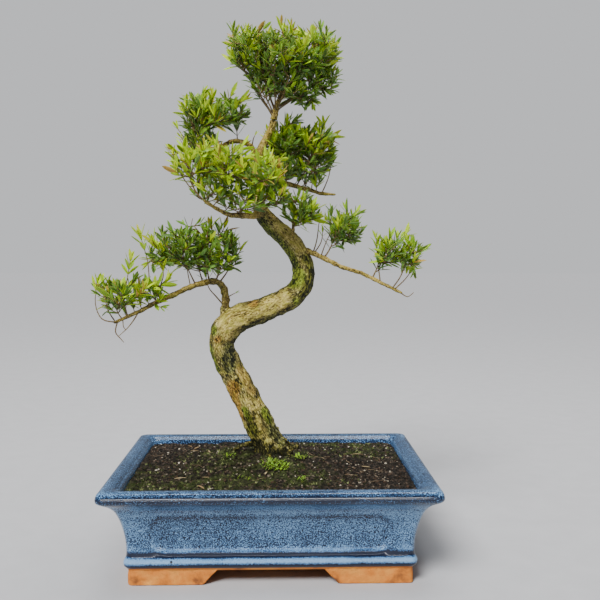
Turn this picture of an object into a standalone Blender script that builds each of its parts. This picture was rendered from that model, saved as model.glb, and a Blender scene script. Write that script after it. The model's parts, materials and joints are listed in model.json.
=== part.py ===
"""Brush cherry bonsai growing in a glazed rectangular pot.

A trunk that bends twice stands in mounded soil and carries seven leafy branches. The pot is one
fired piece: a flared glazed body with four unglazed corner feet and two drain holes, each with a
plastic screen under the soil.

Units are metres and +Z is up. The front of the pot faces -Y, and the feet stand on z = 0.
Positions are measured from the middle of the pot, and one empty carries the whole plant and pot
so that the origin lies under the middle of the bounding box.
"""

import math
import random
from collections import namedtuple

import bmesh
import bpy
from mathutils import Matrix, Vector, noise

# The gap between touching pieces, and the distances at which points count as one
CLEARANCE = 0.0003
WELD_DISTANCE = 0.000001
MERGE_DISTANCE = 0.000008

# Driving sizes of the pot
POT_LENGTH = 0.360
POT_DEPTH = 0.270
FOOT_HEIGHT = 0.018
FLOOR_TOP = 0.027
CORNER_RADIUS = 0.007
CAVITY_CORNER_RADIUS = 0.011
CORNER_STEPS = 3

# The wall's outer outline: how far it stands in from the lip, and its height
OUTER_PROFILE = (
    (0.0275, 0.0180),
    (0.0252, 0.0195),
    (0.0242, 0.0230),
    (0.0246, 0.0275),
    (0.0264, 0.0310),
    (0.0267, 0.0380),
    (0.0260, 0.0480),
    (0.0240, 0.0600),
    (0.0208, 0.0720),
    (0.0160, 0.0830),
    (0.0100, 0.0895),
    (0.0040, 0.0935),
    (0.0006, 0.0965),
    (0.0000, 0.1000),
    (0.0005, 0.1040),
    (0.0035, 0.1070),
)
# The hollow's outline, from above the rim down to the floor
CAVITY_PROFILE = (
    (0.0150, 0.1090),
    (0.0163, 0.1060),
    (0.0208, 0.1015),
    (0.0275, 0.0870),
    (0.0315, 0.0740),
    (0.0338, 0.0560),
    (0.0348, 0.0360),
    (0.0390, 0.0270),
)

# Sunk oval panels in the four walls
PANEL_CENTRE_Z = 0.0565
PANEL_HALF_HEIGHT = 0.0190
PANEL_HALF_LENGTH = 0.128
PANEL_HALF_LENGTH_SIDE = 0.078
PANEL_DEPTH = 0.0020
PANEL_ARC_STEPS = 6

# Feet: a ring under the body, cut away in the middle of each side
FOOT_INSET = 0.028
FOOT_WIDTH = 0.018
NOTCH_HALF_FRONT = (0.072, 0.056)
NOTCH_HALF_SIDE = (0.048, 0.034)
OVERRUN = 0.002

DRAIN_HOLE_X = 0.075
DRAIN_HOLE_RADIUS = 0.009
SCREEN_SIDE = 0.026
SCREEN_CELLS = 4
SCREEN_BAR = 0.0012

# Soil
SOIL_EDGE_Z = 0.0975
SOIL_MOUND = 0.0125
MOUND_CENTRE = (-0.004, 0.020)
MOUND_SPREAD = (0.105, 0.070)
SOIL_LUMP = 0.0016
SOIL_LUMP_SCALE = 60.0
SOIL_GRID = (15, 11)

# Trunk, from its buried foot to its top: x, y, z and radius
TRUNK = (
    (0.004, 0.030, 0.082, 0.0200),
    (0.000, 0.030, 0.102, 0.0215),
    (-0.004, 0.030, 0.119, 0.0188),
    (-0.018, 0.030, 0.147, 0.0174),
    (-0.030, 0.030, 0.172, 0.0166),
    (-0.042, 0.029, 0.197, 0.0156),
    (-0.055, 0.027, 0.220, 0.0149),
    (-0.061, 0.025, 0.239, 0.0150),
    (-0.059, 0.023, 0.253, 0.0158),
    (-0.052, 0.021, 0.264, 0.0166),
    (-0.038, 0.019, 0.274, 0.0164),
    (-0.016, 0.018, 0.281, 0.0149),
    (0.001, 0.018, 0.288, 0.0146),
    (0.017, 0.019, 0.295, 0.0144),
    (0.031, 0.020, 0.306, 0.0139),
    (0.038, 0.022, 0.322, 0.0135),
    (0.036, 0.025, 0.340, 0.0130),
    (0.027, 0.028, 0.358, 0.0128),
    (0.014, 0.029, 0.372, 0.0120),
    (0.002, 0.030, 0.383, 0.0112),
    (-0.009, 0.031, 0.395, 0.0100),
    (-0.016, 0.033, 0.410, 0.0085),
    (-0.018, 0.035, 0.430, 0.0073),
    (-0.018, 0.035, 0.457, 0.0061),
    (-0.010, 0.033, 0.482, 0.0052),
    (-0.001, 0.030, 0.498, 0.0047),
    (0.002, 0.028, 0.509, 0.0044),
)
TRUNK_STEPS = 2
TRUNK_BEVEL = 4
STEM_BEVEL = 1
SHORTEST_STEP = 0.0015
BARK_LUMP = 0.0011
BARK_SCALE = 55.0
BARK_FINER_SCALE = 126.0
BARK_FULL_RADIUS = 0.0174

# Roots that leave the trunk's foot: direction in degrees, length, drop at the far end, radius
SURFACE_ROOTS = (
    (178, 0.046, 0.012, 0.0026),
    (318, 0.040, 0.018, 0.0046),
    (70, 0.042, 0.017, 0.0040),
)
ROOT_START_Z = 0.108
ROOT_TAPER = (1.25, 0.50)
ROOT_STEPS = 5
BURIED_POINTS = 6

# Leaves of the brush cherry: length and width of the blade
LEAF_SIZES = (
    (0.0150, 0.0058),
    (0.0175, 0.0066),
    (0.0205, 0.0072),
)
# Sections of a blade: how far along, share of the full width, thickness, and droop
LEAF_SECTIONS = ((0.46, 1.00, 0.0012, 0.0000),)
LEAF_TIP_DROOP = 0.0018
LEAF_SPREAD = math.radians(52)
LEAF_SPREAD_VARIES = (0.8, 1.2)

# Shoots: a square stem whose side faces grow out into opposite leaves
TWIG_HALF = 0.00075
TWIG_BEND = 0.026
BEND_AT = 0.45
TWIG_FACING = Vector((0.37, 0.93, 0.0))
NODE_HALF = 0.0008
NODE_SPACING = 0.0080
NODE_TO_TIP = 0.0030
SHOOT_PAIRS = 3
SHORTEST_TWIG = 0.012
TWIG_SWAY = 0.06
TWIG_SAG = 0.08
DOWNWARD_COST = 1.2
FIRST_TWIG_FROM = 0.004
FORK_AT = 0.4

# Where the tips of the shoots stand in a pad: share of its radii, and how far below its middle
PAD_REACH = (0.72, 0.95)
PAD_LOWEST = -0.35

# Room round wood and leaves, and how a shoot's target is moved when its way is blocked
TRIES = 40
NUDGE = 0.003
WOOD_GAP = 0.0012
LEAF_GAP = 0.0030
LEAF_CLEAR_FROM = 0.004
TINY = 1e-14

Pad = namedtuple("Pad", "centre radii shoots")
Branch = namedtuple("Branch", "name collar path pads seed")

# Each branch: the length of its collar on the trunk, its path with radii, and its leaf pads.
# A pad has its centre, its reach and its number of shoots.
BRANCHES = (
    Branch(
        "lower_left_branch",
        0.033,
        (
            (-0.056, 0.022, 0.262, 0.0060),
            (-0.056, 0.019, 0.281, 0.0050),
            (-0.053, 0.014, 0.293, 0.0043),
            (-0.055, 0.010, 0.305, 0.0041),
            (-0.060, 0.005, 0.314, 0.0038),
            (-0.069, 0.000, 0.318, 0.0036),
            (-0.083, -0.006, 0.315, 0.0034),
            (-0.097, -0.012, 0.311, 0.0032),
            (-0.111, -0.017, 0.304, 0.0031),
            (-0.125, -0.021, 0.298, 0.0030),
            (-0.139, -0.025, 0.291, 0.0027),
            (-0.150, -0.028, 0.285, 0.0023),
            (-0.163, -0.030, 0.279, 0.0020),
            (-0.178, -0.032, 0.272, 0.0015),
        ),
        (
            Pad((-0.098, -0.008, 0.356), (0.032, 0.032, 0.029), 8),
            Pad((-0.062, -0.004, 0.354), (0.034, 0.030, 0.025), 7),
            Pad((-0.142, -0.026, 0.326), (0.026, 0.026, 0.024), 4),
            Pad((-0.176, -0.032, 0.300), (0.024, 0.024, 0.028), 5),
            Pad((-0.160, -0.032, 0.262), (0.012, 0.014, 0.010), 1),
        ),
        11,
    ),
    Branch(
        "lower_right_branch",
        0.022,
        (
            (0.027, 0.027, 0.356, 0.0055),
            (0.036, 0.021, 0.355, 0.0042),
            (0.047, 0.015, 0.352, 0.0033),
            (0.068, 0.006, 0.342, 0.0028),
            (0.082, 0.000, 0.335, 0.0026),
            (0.104, -0.006, 0.328, 0.0023),
            (0.123, -0.010, 0.319, 0.0021),
            (0.141, -0.014, 0.310, 0.0018),
            (0.151, -0.016, 0.305, 0.0015),
        ),
        (
            Pad((0.060, 0.008, 0.392), (0.006, 0.008, 0.012), 1),
            Pad((0.085, 0.004, 0.376), (0.024, 0.022, 0.024), 4),
            Pad((0.146, -0.012, 0.346), (0.028, 0.024, 0.030), 5),
        ),
        24,
    ),
    Branch(
        "front_branch",
        0.018,
        (
            (-0.011, 0.030, 0.398, 0.0060),
            (-0.016, 0.016, 0.397, 0.0048),
            (-0.022, 0.003, 0.395, 0.0040),
            (-0.034, -0.012, 0.394, 0.0033),
            (-0.046, -0.024, 0.394, 0.0028),
            (-0.060, -0.034, 0.400, 0.0022),
            (-0.076, -0.040, 0.410, 0.0016),
        ),
        (
            Pad((-0.080, -0.040, 0.434), (0.032, 0.028, 0.026), 5),
            Pad((-0.038, -0.040, 0.436), (0.034, 0.030, 0.026), 6),
            Pad((-0.012, -0.034, 0.412), (0.020, 0.022, 0.020), 2),
        ),
        37,
    ),
    Branch(
        "front_tuft",
        0.016,
        (
            (0.019, 0.028, 0.366, 0.0035),
            (0.024, 0.016, 0.370, 0.0026),
            (0.025, 0.006, 0.380, 0.0020),
            (0.025, 0.000, 0.394, 0.0015),
        ),
        (Pad((0.032, -0.004, 0.406), (0.018, 0.016, 0.014), 2),),
        41,
    ),
    Branch(
        "upper_left_branch",
        0.014,
        (
            (-0.018, 0.035, 0.456, 0.0044),
            (-0.020, 0.030, 0.468, 0.0036),
            (-0.025, 0.027, 0.478, 0.0031),
            (-0.033, 0.025, 0.482, 0.0029),
            (-0.041, 0.024, 0.484, 0.0028),
            (-0.051, 0.024, 0.482, 0.0026),
            (-0.060, 0.025, 0.477, 0.0024),
            (-0.069, 0.026, 0.470, 0.0022),
            (-0.079, 0.028, 0.464, 0.0019),
            (-0.090, 0.030, 0.466, 0.0015),
        ),
        (
            Pad((-0.088, 0.030, 0.510), (0.030, 0.030, 0.030), 5),
            Pad((-0.054, 0.024, 0.512), (0.026, 0.026, 0.024), 4),
        ),
        53,
    ),
    Branch(
        "upper_right_branch",
        0.016,
        (
            (-0.018, 0.034, 0.430, 0.0060),
            (-0.010, 0.040, 0.433, 0.0046),
            (0.000, 0.046, 0.435, 0.0037),
            (0.017, 0.052, 0.436, 0.0031),
            (0.042, 0.057, 0.430, 0.0027),
            (0.061, 0.060, 0.425, 0.0025),
            (0.079, 0.062, 0.424, 0.0022),
        ),
        (
            Pad((0.012, 0.056, 0.478), (0.026, 0.026, 0.024), 4),
            Pad((0.046, 0.058, 0.472), (0.032, 0.032, 0.032), 6),
        ),
        67,
    ),
    Branch(
        "apex",
        0.0,
        (
            (0.002, 0.028, 0.509, 0.0044),
            (0.005, 0.027, 0.522, 0.0036),
            (0.010, 0.028, 0.538, 0.0028),
            (0.017, 0.030, 0.556, 0.0020),
        ),
        (
            Pad((-0.022, 0.026, 0.582), (0.034, 0.034, 0.034), 6),
            Pad((0.018, 0.020, 0.588), (0.032, 0.036, 0.036), 6),
            Pad((0.054, 0.034, 0.576), (0.034, 0.036, 0.034), 6),
            Pad((0.034, 0.040, 0.544), (0.030, 0.030, 0.020), 2),
        ),
        79,
    ),
)


def clear_scene():
    """Removes what the start-up file holds."""
    for obj in list(bpy.data.objects):
        bpy.data.objects.remove(obj)


def new_collection(name):
    """A collection linked to the scene."""
    made = bpy.data.collections.new(name)
    bpy.context.scene.collection.children.link(made)
    return made


def new_material(name, colour, roughness, metallic=0.0):
    """A Principled material with one colour."""
    made = bpy.data.materials.new(name)
    made.use_nodes = True
    shader = made.node_tree.nodes["Principled BSDF"]
    shader.inputs["Base Color"].default_value = (*colour, 1.0)
    shader.inputs["Roughness"].default_value = roughness
    shader.inputs["Metallic"].default_value = metallic
    return made


def mesh_object(name, bm, collection, material=None):
    """Turns a bmesh into an object with its normals facing out."""
    bmesh.ops.recalc_face_normals(bm, faces=bm.faces)
    mesh = bpy.data.meshes.new(name)
    bm.to_mesh(mesh)
    bm.free()
    made = bpy.data.objects.new(name, mesh)
    collection.objects.link(made)
    if material:
        mesh.materials.append(material)
    return made


def hide(obj):
    """Marks a solid as one that only cuts or bounds another."""
    obj.hide_render = True
    obj.display_type = "WIRE"
    return obj


def cutter(name, bm, cutters):
    """A helper solid that only cuts or bounds another."""
    return hide(mesh_object(name, bm, cutters))


def boolean(obj, other, operation):
    """Adds a Boolean modifier with one other object."""
    modifier = obj.modifiers.new(f"{operation.lower()} {other.name}", "BOOLEAN")
    modifier.operation = operation
    modifier.object = other
    return modifier


def evaluated_mesh(obj):
    """The object's mesh with its modifiers applied."""
    bpy.context.view_layer.update()
    graph = bpy.context.evaluated_depsgraph_get()
    return bpy.data.meshes.new_from_object(obj.evaluated_get(graph))


def apply_modifiers(obj):
    """Puts the evaluated mesh in place of the modifiers."""
    made = evaluated_mesh(obj)
    obj.modifiers.clear()
    obj.data = made


def ring_of_corners(half_x, half_y, radius, z):
    """Points round a rectangle with rounded corners, at one height."""
    points = []
    for sign_x, sign_y, start in ((1, 1, 0), (-1, 1, 90), (-1, -1, 180), (1, -1, 270)):
        centre = Vector((sign_x * (half_x - radius), sign_y * (half_y - radius), z))
        for step in range(CORNER_STEPS + 1):
            angle = math.radians(start + 90 * step / CORNER_STEPS)
            points.append(centre + radius * Vector((math.cos(angle), math.sin(angle), 0)))
    return points


def loft(rings):
    """A closed solid through rings of equal point counts."""
    bm = bmesh.new()
    made = [[bm.verts.new(point) for point in ring] for ring in rings]
    for lower, upper in zip(made, made[1:]):
        for i, _ in enumerate(lower):
            j = (i + 1) % len(lower)
            bm.faces.new((lower[i], lower[j], upper[j], upper[i]))
    bm.faces.new(reversed(made[0]))
    bm.faces.new(made[-1])
    return bm


def pot_loft(profile, corner_radius, inset=0.0):
    """The pot's body or hollow from its outline, moved in by inset all round."""
    return loft(
        [
            ring_of_corners(
                POT_LENGTH / 2 - stand_in - inset, POT_DEPTH / 2 - stand_in - inset, corner_radius, z
            )
            for stand_in, z in profile
        ]
    )


def stadium_prism(half_length, along):
    """A bar with round ends that passes through two opposite walls; along is X or Y."""
    outline = []
    straight = half_length - PANEL_HALF_HEIGHT
    for side, start in ((1, -90), (-1, 90)):
        for step in range(PANEL_ARC_STEPS + 1):
            angle = math.radians(start + 180 * step / PANEL_ARC_STEPS)
            across = side * straight + PANEL_HALF_HEIGHT * math.cos(angle)
            outline.append((across, PANEL_CENTRE_Z + PANEL_HALF_HEIGHT * math.sin(angle)))
    reach = POT_LENGTH
    if along == "Y":
        return loft([[Vector((a, y, z)) for a, z in outline] for y in (-reach, reach)])
    return loft([[Vector((x, a, z)) for a, z in outline] for x in (-reach, reach)])


def notch_prism(half_widths, along):
    """A bar of trapezoid section that cuts the foot ring on two opposite sides."""
    low, high = half_widths
    top = FOOT_HEIGHT + OVERRUN / 2
    outline = ((-low, -OVERRUN), (low, -OVERRUN), (high, top), (-high, top))
    reach = POT_LENGTH
    if along == "Y":
        return loft([[Vector((a, y, z)) for a, z in outline] for y in (-reach, reach)])
    return loft([[Vector((x, a, z)) for a, z in outline] for x in (-reach, reach)])


def foot_ring(inset, bottom, top):
    """A block with rounded corners under the pot."""
    half_x = POT_LENGTH / 2 - FOOT_INSET - inset
    half_y = POT_DEPTH / 2 - FOOT_INSET - inset
    return loft([ring_of_corners(half_x, half_y, CORNER_RADIUS, z) for z in (bottom, top)])


def build_feet(cutters):
    """The foot ring, cut away in the middle of each side."""
    feet = cutter("feet", foot_ring(0.0, 0.0, FOOT_HEIGHT + OVERRUN), cutters)
    hollow = cutter("feet_hollow", foot_ring(FOOT_WIDTH, -OVERRUN, FOOT_HEIGHT + 2 * OVERRUN), cutters)
    front_notch = cutter("front_notch", notch_prism(NOTCH_HALF_FRONT, "Y"), cutters)
    side_notch = cutter("side_notch", notch_prism(NOTCH_HALF_SIDE, "X"), cutters)
    for other in (hollow, front_notch, side_notch):
        boolean(feet, other, "DIFFERENCE")
    apply_modifiers(feet)
    return feet


def build_panel_cutters(cutters):
    """The solids that sink an oval panel in each wall, parallel to its surface."""
    inner = cutter("panel_floor", pot_loft(OUTER_PROFILE, CORNER_RADIUS, PANEL_DEPTH), cutters)
    made = []
    for name, half_length, along in (
        ("panel_front", PANEL_HALF_LENGTH, "Y"),
        ("panel_side", PANEL_HALF_LENGTH_SIDE, "X"),
    ):
        panel = cutter(name, stadium_prism(half_length, along), cutters)
        boolean(panel, inner, "DIFFERENCE")
        apply_modifiers(panel)
        made.append(panel)
    return made


def build_pot(parts, cutters, material):
    """The fired pot: flared body, rolled rim, sunk panels, corner feet and drain holes."""
    pot = mesh_object("pot", pot_loft(OUTER_PROFILE, CORNER_RADIUS), parts, material)
    boolean(pot, build_feet(cutters), "UNION")
    hollow = cutter("pot_hollow", pot_loft(CAVITY_PROFILE, CAVITY_CORNER_RADIUS), cutters)
    boolean(pot, hollow, "DIFFERENCE")
    for panel in build_panel_cutters(cutters):
        boolean(pot, panel, "DIFFERENCE")
    for side, name in ((-1, "left"), (1, "right")):
        bm = bmesh.new()
        bmesh.ops.create_cone(
            bm,
            cap_ends=True,
            segments=16,
            radius1=DRAIN_HOLE_RADIUS,
            radius2=DRAIN_HOLE_RADIUS,
            depth=2 * FLOOR_TOP,
            matrix=Matrix.Translation((side * DRAIN_HOLE_X, 0, FLOOR_TOP)),
        )
        boolean(pot, cutter(f"drain_hole_{name}", bm, cutters), "DIFFERENCE")
    apply_modifiers(pot)
    pot.data.set_sharp_from_angle(angle=math.radians(35))
    return pot


def build_screens(parts, material):
    """A plastic lattice over each drain hole."""
    made = []
    for side, name in ((-1, "left"), (1, "right")):
        bm = bmesh.new()
        bmesh.ops.create_grid(
            bm, x_segments=SCREEN_CELLS, y_segments=SCREEN_CELLS, size=SCREEN_SIDE / 2
        )
        screen = mesh_object(f"drain_screen_{name}", bm, parts, material)
        screen.location = (side * DRAIN_HOLE_X, 0, FLOOR_TOP + CLEARANCE + SCREEN_BAR / 2)
        bars = screen.modifiers.new("bars", "WIREFRAME")
        bars.thickness = SCREEN_BAR
        bars.use_even_offset = True
        bars.use_boundary = True
        made.append(screen)
    return made


def soil_height(x, y):
    """Height of the soil's surface: a mound round the trunk with small lumps."""
    from_x = (x - MOUND_CENTRE[0]) / MOUND_SPREAD[0]
    from_y = (y - MOUND_CENTRE[1]) / MOUND_SPREAD[1]
    mound = SOIL_MOUND * math.exp(-from_x * from_x - from_y * from_y)
    return SOIL_EDGE_Z + mound + SOIL_LUMP * noise.noise(Vector((x, y, 0.01)) * SOIL_LUMP_SCALE)


def build_soil(parts, cutters, material, screens):
    """Soil that fills the pot, with holes for the trunk's foot, its roots and the screens."""
    bm = bmesh.new()
    bmesh.ops.create_grid(
        bm,
        x_segments=SOIL_GRID[0],
        y_segments=SOIL_GRID[1],
        size=0.5,
        matrix=Matrix.Diagonal((POT_LENGTH, POT_DEPTH, 1, 1)),
    )
    for vert in bm.verts:
        vert.co.z = soil_height(vert.co.x, vert.co.y)
    rim = [edge for edge in bm.edges if edge.is_boundary]
    skirt = bmesh.ops.extrude_edge_only(bm, edges=rim)["geom"]
    lowest = [item for item in skirt if isinstance(item, bmesh.types.BMVert)]
    for vert in lowest:
        vert.co.z = 0.0
    bmesh.ops.contextual_create(bm, geom=[item for item in skirt if isinstance(item, bmesh.types.BMEdge)])
    soil = mesh_object("soil", bm, parts, material)

    profile = [(stand_in, max(z, FLOOR_TOP + CLEARANCE)) for stand_in, z in CAVITY_PROFILE]
    bound = cutter("soil_bound", pot_loft(profile, CAVITY_CORNER_RADIUS, CLEARANCE), cutters)
    boolean(soil, bound, "INTERSECT")

    foot = smooth_path(TRUNK, TRUNK_STEPS)[:BURIED_POINTS]
    hole = bark_tube("trunk_hole", foot, 2 * CLEARANCE, cutters)
    boolean(soil, hide(hole), "DIFFERENCE")
    for i, root in enumerate(SURFACE_ROOTS):
        channel = tube(f"root_hole_{i}", surface_root(*root, 2 * CLEARANCE), 1, cutters)
        boolean(soil, hide(channel), "DIFFERENCE")

    for screen in screens:
        bm = bmesh.new()
        pocket = SCREEN_SIDE + SCREEN_BAR + 2 * CLEARANCE
        top = SCREEN_BAR + 2 * CLEARANCE
        bmesh.ops.create_cube(bm, size=1, matrix=Matrix.Diagonal((pocket, pocket, 2 * top, 1)))
        space = cutter(f"{screen.name}_pocket", bm, cutters)
        space.location = (screen.location.x, screen.location.y, FLOOR_TOP)
        boolean(soil, space, "DIFFERENCE")
    apply_modifiers(soil)
    soil.data.set_sharp_from_angle(angle=math.radians(50))
    return soil


def smooth_path(points, steps):
    """Extra points on a smooth curve through the given ones; a point is x, y, z and radius."""
    made = []
    last = len(points) - 1
    for i in range(last):
        around = [Vector(points[max(0, min(last, i + k))]) for k in (-1, 0, 1, 2)]
        before, here, there, after = around
        for step in range(steps):
            t = step / steps
            made.append(
                0.5
                * (
                    2 * here
                    + (there - before) * t
                    + (2 * before - 5 * here + 4 * there - after) * t * t
                    + (3 * here - before - 3 * there + after) * t * t * t
                )
            )
    made.append(Vector(points[-1]))
    return made


def cut_path(points, start, end=math.inf):
    """The stretch of a path between two lengths along it, without very short steps at its ends."""
    made = []
    done = 0.0
    for here, there in zip(points, points[1:]):
        length = (there.xyz - here.xyz).length
        if done <= start < done + length:
            made.append(here.lerp(there, (start - done) / length))
        if made and done + length > start + SHORTEST_STEP and done + length < end - SHORTEST_STEP:
            made.append(there)
        if done < end <= done + length:
            made.append(here.lerp(there, (end - done) / length))
        done += length
    return made


def tube(name, points, bevel_resolution, collection, material=None):
    """A tapered tube along points of x, y, z and radius, as one welded mesh."""
    curve = bpy.data.curves.new(name, "CURVE")
    curve.dimensions = "3D"
    curve.bevel_depth = 1.0
    curve.bevel_resolution = bevel_resolution
    curve.use_fill_caps = True
    spline = curve.splines.new("POLY")
    spline.points.add(len(points) - 1)
    for target, point in zip(spline.points, points):
        target.co = (*point.xyz, 1.0)
        target.radius = point.w
    guide = bpy.data.objects.new(f"{name}_curve", curve)
    collection.objects.link(guide)
    mesh = evaluated_mesh(guide)
    bpy.data.objects.remove(guide)
    bm = bmesh.new()
    bm.from_mesh(mesh)
    bmesh.ops.remove_doubles(bm, verts=bm.verts, dist=WELD_DISTANCE)
    return mesh_object(name, bm, collection, material)


def tidy_cuts(obj):
    """Merges points that a cut has left almost on each other, and drops those inside an edge."""
    bm = bmesh.new()
    bm.from_mesh(obj.data)
    bmesh.ops.remove_doubles(bm, verts=bm.verts, dist=MERGE_DISTANCE)
    inside = [vert for vert in bm.verts if len(vert.link_edges) == 2]
    bmesh.ops.dissolve_verts(bm, verts=inside)
    bmesh.ops.triangulate(bm, faces=bm.faces)
    bm.to_mesh(obj.data)
    bm.free()


def union_all(obj, repeats):
    """Joins every object of a collection to obj and removes them."""
    modifier = obj.modifiers.new("union", "BOOLEAN")
    modifier.operation = "UNION"
    modifier.operand_type = "COLLECTION"
    modifier.collection = repeats
    apply_modifiers(obj)
    tidy_cuts(obj)
    for other in list(repeats.objects):
        bpy.data.objects.remove(other)
    bpy.data.collections.remove(repeats)


def collar_length(branch):
    """Where the collar ends: in the middle of a straight step, so that both cut faces are parallel."""
    path = smooth_path(branch.path, 2)
    done = 0.0
    for here, there in zip(path, path[1:]):
        length = (there.xyz - here.xyz).length
        if done + length > branch.collar:
            return done + length / 2
        done += length
    return done


def branch_collar(branch):
    """The stretch of a branch that belongs to the trunk."""
    return cut_path(smooth_path(branch.path, 2), 0.0, collar_length(branch))


def branch_stem(branch):
    """The rest of a branch, which starts just clear of its collar."""
    start = collar_length(branch) if branch.collar else 0.0
    return cut_path(smooth_path(branch.path, 2), start + CLEARANCE)


def surface_root(direction, length, drop, radius, grow=0.0):
    """Path of a root that leaves the trunk's foot and dips into the soil."""
    foot = Vector(TRUNK[1][:3])
    heading = Vector((math.cos(math.radians(direction)), math.sin(math.radians(direction)), 0))
    made = []
    for step in range(ROOT_STEPS + 1):
        t = step / ROOT_STEPS
        place = Vector((foot.x, foot.y, ROOT_START_Z)) + heading * (length + grow) * t
        place.z -= drop * t * t
        taper = ROOT_TAPER[0] + (ROOT_TAPER[1] - ROOT_TAPER[0]) * t
        made.append(Vector((*place, radius * taper + grow)))
    return made


def bark_tube(name, path, grow, collection, material=None):
    """A tube with the trunk's lumps, its surface grown outward by a little."""
    grown = [Vector((*point.xyz, point.w + grow)) for point in path]
    grown[0] = grown[0] - Vector((0, 0, grow, 0))
    made = tube(name, grown, TRUNK_BEVEL, collection, material)
    for vert in made.data.vertices:
        lump = noise.noise(vert.co * BARK_SCALE) + noise.noise(vert.co * BARK_FINER_SCALE) / 2
        near = min(path, key=lambda point: (point.xyz - vert.co).length_squared)
        away = vert.co - near.xyz
        share = min(1.0, near.w / BARK_FULL_RADIUS)
        if away.length > near.w / 2:
            vert.co += away.normalized() * lump * BARK_LUMP * share
    return made


def build_trunk(parts, material):
    """The trunk with the roots at its foot and a collar for each branch."""
    trunk = bark_tube("trunk", smooth_path(TRUNK, TRUNK_STEPS), 0.0, parts, material)
    repeats = new_collection("trunk_repeats")
    for root in SURFACE_ROOTS:
        tube("root", surface_root(*root), 1, repeats)
    for branch in BRANCHES:
        if branch.collar:
            tube("collar", branch_collar(branch), 2, repeats)
    union_all(trunk, repeats)
    trunk.data.set_sharp_from_angle(angle=math.radians(60))
    return trunk


def segment_gap(a, b, c, d):
    """Shortest distance between the segments ab and cd."""
    u, v, w = b - a, d - c, a - c
    uu, uv, vv, uw, vw = u.dot(u), u.dot(v), v.dot(v), u.dot(w), v.dot(w)
    across = uu * vv - uv * uv
    s = 0.0 if across < TINY else max(0.0, min(1.0, (uv * vw - vv * uw) / across))
    t = (uv * s + vw) / vv if vv > TINY else 0.0
    if t < 0.0 or t > 1.0:
        t = max(0.0, min(1.0, t))
        s = max(0.0, min(1.0, (uv * t - uw) / uu)) if uu > TINY else 0.0
    return (w + u * s - v * t).length


class Space:
    """Remembers the round bars that stand for wood and leaves, so that no two nodes meet."""

    def __init__(self):
        self.bars = []

    def add(self, owner, kind, start, end, radius):
        """Takes up the space of one bar."""
        self.bars.append((owner, kind, start, end, radius, (end - start).length / 2))

    def add_path(self, owner, points, lump=0.0):
        """Takes up the space of a stem, with the height of its bark."""
        for here, there in zip(points, points[1:]):
            self.add(owner, "wood", here.xyz, there.xyz, max(here.w, there.w) + lump)

    def is_free(self, owner, start, end, radius, own_gap):
        """True if a bar is clear of other nodes, and own_gap away from this node's leaves."""
        middle, half = (start + end) / 2, (end - start).length / 2
        for other, kind, a, b, thick, other_half in self.bars:
            if other == owner:
                if kind == "wood" or own_gap is None:
                    continue
                needed = own_gap
            else:
                needed = radius + thick + WOOD_GAP
            if ((a + b) / 2 - middle).length > half + other_half + needed:
                continue
            if segment_gap(start, end, a, b) < needed:
                return False
        return True


def bent_line(start, end, rng):
    """The start, middle and end of a thin stem that leaves its branch low and curves up."""
    span = end - start
    side = Vector((rng.uniform(-1, 1), rng.uniform(-1, 1), 0)) * span.length * TWIG_SWAY
    return start, start + span * 0.5 + side - Vector((0, 0, TWIG_SAG * span.length)), end


def point_on(line, t):
    """A point of a thin stem, from t = 0 at its start to t = 1 at its end."""
    start, middle, end = line
    return start * (1 - t) ** 2 + middle * 2 * t * (1 - t) + end * t * t


def best_start(stem_points, target):
    """The point of the wood grown so far from which a twig reaches the target best."""
    def cost(point):
        reach = (target - point).length
        too_short = 1.0 if reach < SHORTEST_TWIG else 0.0
        return reach + DOWNWARD_COST * max(0.0, point.z - target.z) + too_short

    return min(stem_points, key=cost)


def spread_points(pad, rng):
    """Points spread evenly through the outer part of a pad."""
    made = []
    turn = math.pi * (3 - math.sqrt(5))
    first = rng.uniform(0, 2 * math.pi)
    for i in range(pad.shoots):
        height = 1 - (1 - PAD_LOWEST) * (i + 0.5) / pad.shoots
        flat = math.sqrt(max(0.0, 1 - height * height))
        angle = first + i * turn
        way = Vector((flat * math.cos(angle), flat * math.sin(angle), height))
        reach = rng.uniform(*PAD_REACH)
        made.append(
            Vector(pad.centre)
            + reach * Vector((way.x * pad.radii[0], way.y * pad.radii[1], way.z * pad.radii[2]))
        )
    return made


Section = namedtuple("Section", "centre across over half_across half_over")


def corner_signs(vert, section):
    """Which corner of a four-sided section a vertex is."""
    away = vert.co - section.centre
    return math.copysign(1, away.dot(section.across)), math.copysign(1, away.dot(section.over))


def place_corners(verts, before, after):
    """Moves the four corners of one section to those of another."""
    for vert in verts:
        across, over = corner_signs(vert, before)
        vert.co = (
            after.centre
            + after.across * across * after.half_across
            + after.over * over * after.half_over
        )


def extrude_to(bm, face, before, after):
    """Extrudes a face to a new section and returns the new face."""
    grown = bmesh.ops.extrude_discrete_faces(bm, faces=[face])["faces"][0]
    place_corners(grown.verts, before, after)
    return grown


def leaf_sections(root, way, length, width):
    """The sections of one blade from its root along way, and its tip."""
    across, over = root.across, way.cross(root.across).normalized()
    if over.dot(root.over) < 0:
        over = -over
    made = []
    for along, share, thick, droop in LEAF_SECTIONS:
        centre = root.centre + way * along * length - over * droop
        made.append(Section(centre, across, over, share * width / 2, thick / 2))
    return made, root.centre + way * length - over * LEAF_TIP_DROOP


def grow_leaf(bm, face, root, way, length, width):
    """Grows a pointed blade out of one face of a shoot."""
    sections, tip = leaf_sections(root, way, length, width)
    before = root
    for section in sections:
        face = extrude_to(bm, face, before, section)
        before = section
    point = bmesh.ops.poke(bm, faces=[face])["verts"][0]
    point.co = tip


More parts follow.
